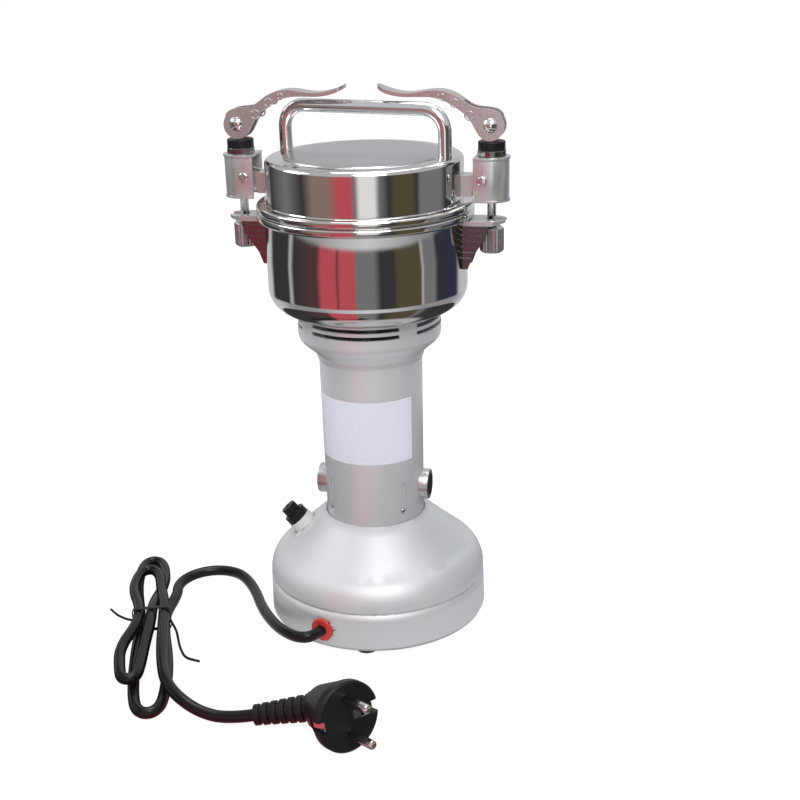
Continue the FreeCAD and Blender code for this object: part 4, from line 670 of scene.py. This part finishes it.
rod_x = 70.5
pivot_z = 292.5
lever_half = 5.4
rod_hole_r = 2.6
box_x = 61.6
box_low = 252.0
lip_top = 253.2
roof_low = 274.6
box_top = 276.0
collar_r = 7.75
collar_outline = [(rod_hole_r, box_top), (7.5, box_top), (collar_r, 276.3), (collar_r, 278.9), (7.5, 279.2),
                  (rod_hole_r, 279.2)]
dome_outline = [(0.02, 1.8)] + arc_points(0, -3.1, 4.9, 84, 28, 8) + [(4.3, -0.9), (4.3, -1.0), (0.02, -1.0)]
lever_rings = ((59.2, 297.7, 2.3), (51.4, 304.2, 2.1), (44.4, 307.4, 1.6))
for side, mirror_deg in (("right", 0), ("left", 180)):
    shell = channel("clamp_shell_" + side, box_x, rod_x, 9.6, 1.6, lip_top, roof_low)
    roof = channel("clamp_roof_" + side, box_x, rod_x, 10.2, 10.19, roof_low, box_top)
    lip = channel("clamp_lip_" + side, box_x, rod_x, 10.1, 1.9, box_low, lip_top)
    bpy.ops.mesh.primitive_cylinder_add(vertices=48, radius=rod_hole_r * MM, depth=12 * MM,
                                        location=(rod_x * MM, 0, 275 * MM))
    roof_hole = bpy.context.object
    bpy.ops.object.transform_apply(location=True)
    cut_out(roof, roof_hole)
    for piece in (shell, roof, lip):
        turned_over(piece, mirror_deg, "Z")
        edge = piece.modifiers.new("soft edge", "BEVEL")
        edge.width = 0.25 * MM
        edge.segments = 2
        edge.limit_method = "ANGLE"
        edge.angle_limit = math.radians(40)
        bpy.context.view_layer.objects.active = piece
        bpy.ops.object.modifier_apply(modifier=edge.name)
        finished(piece, boxed, "polished_steel", "clamp_" + side, "clamp_box_" + side, angle=35.0)
    collar = turned("clamp_collar_" + side, collar_outline, 18)
    turned_over(moved(collar, rod_x, 0, 0), mirror_deg, "Z")
    finished(collar, gunmetal, "polished_steel", "clamp_" + side, "clamp_box_" + side, angle=12.0)
    smooth_copy("clamp_pad_" + side, "cam_pad_" + side, moulded)
    smooth_copy("clamp_rod_" + side, "draw_rod_" + side, chrome)
    smooth_copy("clamp_nut_" + side, "knurled_nut_" + side, zinc, 0.12)
    smooth_copy("clamp_lever_" + side, "cam_lever_" + side, lever_steel, 0.7)
    for number, (ring_x, ring_z, ring_r) in enumerate(lever_rings):
        ring = cheeked("lever_ring_%s_%d" % (side, number), lever_half - 0.1, ring_x, ring_z, ring_r)
        turned_over(ring, mirror_deg, "Z")
        finished(ring, lever_steel, "bright_chrome", "lever_" + side, angle=60.0)
    domes = []
    for cheek in (-1, 1):
        dome = turned("dome", dome_outline, 48)
        turned_over(dome, 90, "X")
        if dome.data.vertices[0].co.y * cheek < 0:
            turned_over(dome, 180, "X")
        domes.append(moved(dome, rod_x, cheek * (lever_half + 0.05), pivot_z))
    bpy.ops.mesh.primitive_cylinder_add(vertices=32, radius=2 * MM, depth=2 * lever_half * MM,
                                        location=(0, 0, 0))
    shank = moved(turned_over(bpy.context.object, 90, "X"), rod_x, 0, pivot_z)
    pin = turned_over(joined("lever_rivet_" + side, shank, *domes), mirror_deg, "Z")
    finished(pin, chrome, "bright_chrome", "lever_" + side, "lever_pin_" + side, angle=50.0)

# Motor parts, blades and brush gear, which keep the nodes' shapes. Each gets the surface of its stock:
# ground or laminated steel, wound copper, cast aluminium, brass or carbon.
blade_steel, blade_tree, blade_shader = plain_material("ground blade steel", (0.66, 0.66, 0.67), 1.0, 0.26)
blade_grain = noise(blade_tree, place_texture(blade_tree, (0.1, 1, 1)), 2.0, 4.0)
blade_tree.links.new(ranged(blade_tree, blade_grain, 0.2, 0.36), blade_shader.inputs["Roughness"])
raised(blade_tree, blade_shader, blade_grain, 0.02, 0.3)
for node in ("rotor_shaft", "lower_blade", "blade_spacer", "upper_blade", "blade_nut"):
    smooth_copy(node, node + "_ground", blade_steel, 0.15)
core_steel, core_tree, core_shader = plain_material("laminated core steel", (0.34, 0.34, 0.36), 1.0, 0.45)
sheets = core_tree.nodes.new("ShaderNodeTexWave")
sheets.wave_type = "BANDS"
sheets.bands_direction = "Z"
sheets.inputs["Scale"].default_value = 0.63
core_tree.links.new(place_texture(core_tree), sheets.inputs["Vector"])
tinted(core_tree, core_shader, sheets.outputs["Fac"], (0.24, 0.24, 0.26), (0.40, 0.40, 0.42))
raised(core_tree, core_shader, sheets.outputs["Fac"], 0.1, 0.5)
for node in ("armature_core", "stator_core"):
    smooth_copy(node, node + "_stack", core_steel)
copper, copper_tree, copper_shader = plain_material("enamelled copper", (0.50, 0.20, 0.09), 0.8, 0.3)
turns = noise(copper_tree, place_texture(copper_tree, (1, 1, 6)), 1.1, 3.0)
tinted(copper_tree, copper_shader, turns, (0.36, 0.13, 0.05), (0.66, 0.30, 0.14))
raised(copper_tree, copper_shader, turns, 0.2, 0.6)
for node in ("armature_windings", "field_coils"):
    smooth_copy(node, node + "_wound", copper)
bars, bars_tree, bars_shader = plain_material("commutator copper", (0.70, 0.38, 0.22), 1.0, 0.25)
bars_tree.links.new(ranged(bars_tree, noise(bars_tree, place_texture(bars_tree, (1, 1, 8)), 0.8), 0.18, 0.4),
                    bars_shader.inputs["Roughness"])
smooth_copy("commutator", "commutator_bars", bars)
cast, cast_tree, cast_shader = plain_material("cast aluminium", (0.60, 0.61, 0.63), 1.0, 0.5)
raised(cast_tree, cast_shader, noise(cast_tree, place_texture(cast_tree), 1.8, 4.0), 0.12, 0.5)
for node in ("lower_end_bell", "upper_end_bell", "cooling_fan"):
    smooth_copy(node, node + "_cast", cast, 0.2)
brass, brass_tree, brass_shader = plain_material("turned brass", (0.74, 0.56, 0.26), 1.0, 0.28)
brass_tree.links.new(ranged(brass_tree, noise(brass_tree, place_texture(brass_tree), 1.5), 0.2, 0.36),
                     brass_shader.inputs["Roughness"])
smooth_copy("brush_holders", "brush_tubes", brass)
carbon, carbon_tree, carbon_shader = plain_material("carbon", (0.05, 0.05, 0.05), 0.0, 0.55)
raised(carbon_tree, carbon_shader, noise(carbon_tree, place_texture(carbon_tree), 4.0, 4.0), 0.05, 0.5)
smooth_copy("carbon_brushes", "brush_blocks", carbon)
smooth_copy("brush_springs", "brush_spring_pair", zinc)
smooth_copy("brush_caps", "brush_cap_pair", moulded)
smooth_copy("motor_bearings", "ball_bearings", zinc, 0.2)

# Floor, lamps and the cards that the polished steel reflects. None of them is part of the mill, and only
# mirror rays see the cards.
bpy.ops.mesh.primitive_circle_add(vertices=96, radius=3.0, fill_type="NGON", location=(0, 0, 0))
floor = bpy.context.object
floor.name = "white_floor"
floor_paint = bpy.data.materials.new("white floor")
floor_paint.use_nodes = True
floor_tree = floor_paint.node_tree
floor_tree.nodes.clear()
floor_out = floor_tree.nodes.new("ShaderNodeOutputMaterial")
floor_matte = floor_tree.nodes.new("ShaderNodeBsdfDiffuse")
floor_matte.inputs["Color"].default_value = (0.9, 0.9, 0.9, 1)
floor_glow = floor_tree.nodes.new("ShaderNodeEmission")
floor_glow.inputs["Strength"].default_value = 1.22
floor_mix = floor_tree.nodes.new("ShaderNodeMixShader")
floor_light = floor_tree.nodes.new("ShaderNodeLightPath")
floor_share = floor_tree.nodes.new("ShaderNodeMath")
floor_share.operation = "MULTIPLY"
floor_share.inputs[1].default_value = 0.72
floor_glow.inputs["Color"].default_value = (1.0, 1.0, 1.0, 1)
floor_tree.links.new(floor_light.outputs["Is Camera Ray"], floor_share.inputs[0])
floor_tree.links.new(floor_share.outputs[0], floor_mix.inputs[0])
floor_tree.links.new(floor_matte.outputs[0], floor_mix.inputs[1])
floor_tree.links.new(floor_glow.outputs[0], floor_mix.inputs[2])
floor.data.materials.append(floor_paint)

screen_r = 0.33
screen_low = 0.004
screen_high = 0.36
bpy.ops.mesh.primitive_cylinder_add(vertices=96, radius=screen_r, depth=screen_high - screen_low,
                                    end_fill_type="NOTHING", location=(0, 0, (screen_low + screen_high) / 2))
screen = bpy.context.object
screen.name = "reflection_cards"
bpy.ops.object.transform_apply(location=True)
screen.visible_camera = False
screen.visible_diffuse = False
screen.visible_shadow = False
screen.visible_transmission = False
screen_paint = bpy.data.materials.new("reflection cards")
screen_paint.use_nodes = True
screen_tree = screen_paint.node_tree
screen_tree.nodes.clear()
screen_out = screen_tree.nodes.new("ShaderNodeOutputMaterial")
screen_glow = screen_tree.nodes.new("ShaderNodeEmission")
screen_tree.links.new(screen_glow.outputs[0], screen_out.inputs[0])


def round_the_mill(tree):
    """The split coordinates of a point, and its bearing round the Z axis as a share of a turn."""
    where = tree.nodes.new("ShaderNodeTexCoord")
    split = tree.nodes.new("ShaderNodeSeparateXYZ")
    tree.links.new(where.outputs["Object"], split.inputs[0])
    front = tree.nodes.new("ShaderNodeMath")
    front.operation = "MULTIPLY"
    front.inputs[1].default_value = -1.0
    tree.links.new(split.outputs["Y"], front.inputs[0])
    bearing_node = tree.nodes.new("ShaderNodeMath")
    bearing_node.operation = "ARCTAN2"
    tree.links.new(split.outputs["X"], bearing_node.inputs[0])
    tree.links.new(front.outputs[0], bearing_node.inputs[1])
    turn = tree.nodes.new("ShaderNodeMapRange")
    turn.inputs["From Min"].default_value = -math.pi
    turn.inputs["From Max"].default_value = math.pi
    tree.links.new(bearing_node.outputs[0], turn.inputs["Value"])
    return split, turn.outputs["Result"]


screen_split, screen_turn = round_the_mill(screen_tree)


def card_ramp(tree, turn, cards):
    """A band of colours round the mill. Each card is (bearing from the camera's in degrees, colour)."""
    ramp = tree.nodes.new("ShaderNodeValToRGB")
    ramp.color_ramp.interpolation = "LINEAR"
    stops = sorted(((bearing + photo_turn_deg + 180.0) / 360.0 % 1.0, colour) for bearing, colour in cards)
    ramp.color_ramp.elements[0].position = stops[0][0]
    ramp.color_ramp.elements[0].color = (*stops[0][1], 1)
    ramp.color_ramp.elements[1].position = stops[-1][0]
    ramp.color_ramp.elements[1].color = (*stops[-1][1], 1)
    for position, colour in stops[1:-1]:
        ramp.color_ramp.elements.new(position).color = (*colour, 1)
    tree.links.new(turn, ramp.inputs["Fac"])
    return ramp.outputs["Color"]


pale = (0.62, 0.63, 0.66)
dark = (0.045, 0.047, 0.052)
mid = (0.22, 0.22, 0.24)
pink = (0.62, 0.10, 0.13)
maroon = (0.10, 0.05, 0.055)
olive = (0.105, 0.09, 0.05)
navy = (0.03, 0.04, 0.08)
# The cards are painted reflections in three bands by height on the screen: the column's low down, the bowl's
# in the middle and the lid's at the top.
bowl_cards = card_ramp(screen_tree, screen_turn, [
    (-179, pale), (-134, pale), (-126, dark), (-95, dark), (-91, pale), (-86, dark), (-62, maroon),
    (-55, maroon), (-50, pink), (-34, pink), (-32, maroon), (-30, pink), (-15, pink), (-12, mid), (6, mid),
    (13, dark), (27, dark), (30, olive), (57, olive), (59, pale), (61, mid), (75, mid), (79, dark),
    (100, navy), (112, dark), (120, pale), (160, pale)])
white = (1.0, 1.0, 1.0)
bright = (0.80, 0.81, 0.83)
grey_card = (0.36, 0.36, 0.38)
beige = (0.30, 0.22, 0.20)
lid_cards = card_ramp(screen_tree, screen_turn, [
    (-179, pale), (-140, pale), (-128, dark), (-95, mid), (-70, dark), (-58, beige), (-40, beige),
    (-28, pink), (-16, pink), (-11, mid), (-6, white), (9, white), (14, mid), (24, dark), (30, olive),
    (50, olive), (56, dark), (60, mid), (88, mid), (96, dark), (110, dark), (124, pale), (160, pale)])
column_cards = card_ramp(screen_tree, screen_turn, [
    (-179, pale), (-120, pale), (-95, grey_card), (-60, grey_card), (-30, pale), (0, bright), (25, pale),
    (60, grey_card), (110, grey_card), (140, pale)])


def stacked(lower, upper, low, high):
    """Pass from one band of cards to the next between two heights on the screen."""
    rise = screen_tree.nodes.new("ShaderNodeMapRange")
    rise.inputs["From Min"].default_value = low
    rise.inputs["From Max"].default_value = high
    screen_tree.links.new(screen_split.outputs["Z"], rise.inputs["Value"])
    pick = screen_tree.nodes.new("ShaderNodeMix")
    pick.data_type = "RGBA"
    screen_tree.links.new(rise.outputs["Result"], pick.inputs["Factor"])
    screen_tree.links.new(lower, pick.inputs["A"])
    screen_tree.links.new(upper, pick.inputs["B"])
    return pick.outputs["Result"]


low_bands = stacked(column_cards, bowl_cards, 0.088, 0.100)
screen_tree.links.new(stacked(low_bands, lid_cards, 0.184, 0.190), screen_glow.inputs["Color"])
screen.data.materials.append(screen_paint)

# Mirror rays see the floor glow instead, as a painted reflection: mid grey near the mill, passing into bands
# of card colours further out.
floor_turn = round_the_mill(floor_tree)[1]
floor_away = floor_tree.nodes.new("ShaderNodeVectorMath")
floor_away.operation = "LENGTH"
floor_where = floor_tree.nodes.new("ShaderNodeTexCoord")
floor_tree.links.new(floor_where.outputs["Object"], floor_away.inputs[0])
floor_reflection_fade = floor_tree.nodes.new("ShaderNodeMapRange")
floor_reflection_fade.inputs["From Min"].default_value = 0.105
floor_reflection_fade.inputs["From Max"].default_value = 0.135
floor_tree.links.new(floor_away.outputs["Value"], floor_reflection_fade.inputs["Value"])
floor_reflection_bands = card_ramp(floor_tree, floor_turn, [
    (-179, dark), (-86, dark), (-62, maroon), (-50, maroon), (-46, pink), (-18, pink), (-12, mid), (6, mid),
    (13, dark), (30, olive), (57, olive), (61, mid), (75, dark), (160, dark)])
floor_reflection_tone = floor_tree.nodes.new("ShaderNodeMix")
floor_reflection_tone.data_type = "RGBA"
floor_reflection_tone.inputs["A"].default_value = (0.55, 0.55, 0.56, 1)
floor_tree.links.new(floor_reflection_fade.outputs["Result"], floor_reflection_tone.inputs["Factor"])
floor_tree.links.new(floor_reflection_bands, floor_reflection_tone.inputs["B"])
floor_painted_reflection = floor_tree.nodes.new("ShaderNodeEmission")
floor_tree.links.new(floor_reflection_tone.outputs["Result"], floor_painted_reflection.inputs["Color"])
floor_pick = floor_tree.nodes.new("ShaderNodeMixShader")
floor_tree.links.new(floor_light.outputs["Is Glossy Ray"], floor_pick.inputs[0])
floor_tree.links.new(floor_mix.outputs[0], floor_pick.inputs[1])
floor_tree.links.new(floor_painted_reflection.outputs[0], floor_pick.inputs[2])
floor_tree.links.new(floor_pick.outputs[0], floor_out.inputs[0])

for name, place, aim, width, watts in (
        ("front_softbox", (0.35, -0.9, 1.1), (0, 0, 0.12), 0.7, 11.0),
        ("left_softbox", (-1.1, -0.2, 0.9), (0, 0, 0.12), 0.6, 5.0),
        ("top_softbox", (0.0, 0.3, 1.4), (0, 0, 0.15), 0.8, 8.0)):
    bpy.ops.object.light_add(type="AREA", location=place)
    lamp = bpy.context.object
    lamp.name = name
    lamp.data.shape = "SQUARE"
    lamp.data.size = width
    lamp.data.energy = watts
    lamp.rotation_euler = (Vector(aim) - Vector(place)).to_track_quat("-Z", "Y").to_euler()

world = bpy.data.worlds.new("white studio")
bpy.context.scene.world = world
world.use_nodes = True
world_tree = world.node_tree
world_tree.nodes.clear()
world_out = world_tree.nodes.new("ShaderNodeOutputWorld")
world_fill = world_tree.nodes.new("ShaderNodeBackground")
world_fill.inputs["Color"].default_value = (0.92, 0.95, 1.0, 1)
world_fill.inputs["Strength"].default_value = 0.62
world_seen = world_tree.nodes.new("ShaderNodeBackground")
world_seen.inputs["Color"].default_value = (1.0, 1.0, 1.0, 1)
world_seen.inputs["Strength"].default_value = 1.0
world_light = world_tree.nodes.new("ShaderNodeLightPath")
world_mix = world_tree.nodes.new("ShaderNodeMixShader")
world_tree.links.new(world_light.outputs["Is Camera Ray"], world_mix.inputs[0])
world_tree.links.new(world_fill.outputs[0], world_mix.inputs[1])
world_tree.links.new(world_seen.outputs[0], world_mix.inputs[2])
world_tree.links.new(world_mix.outputs[0], world_out.inputs[0])
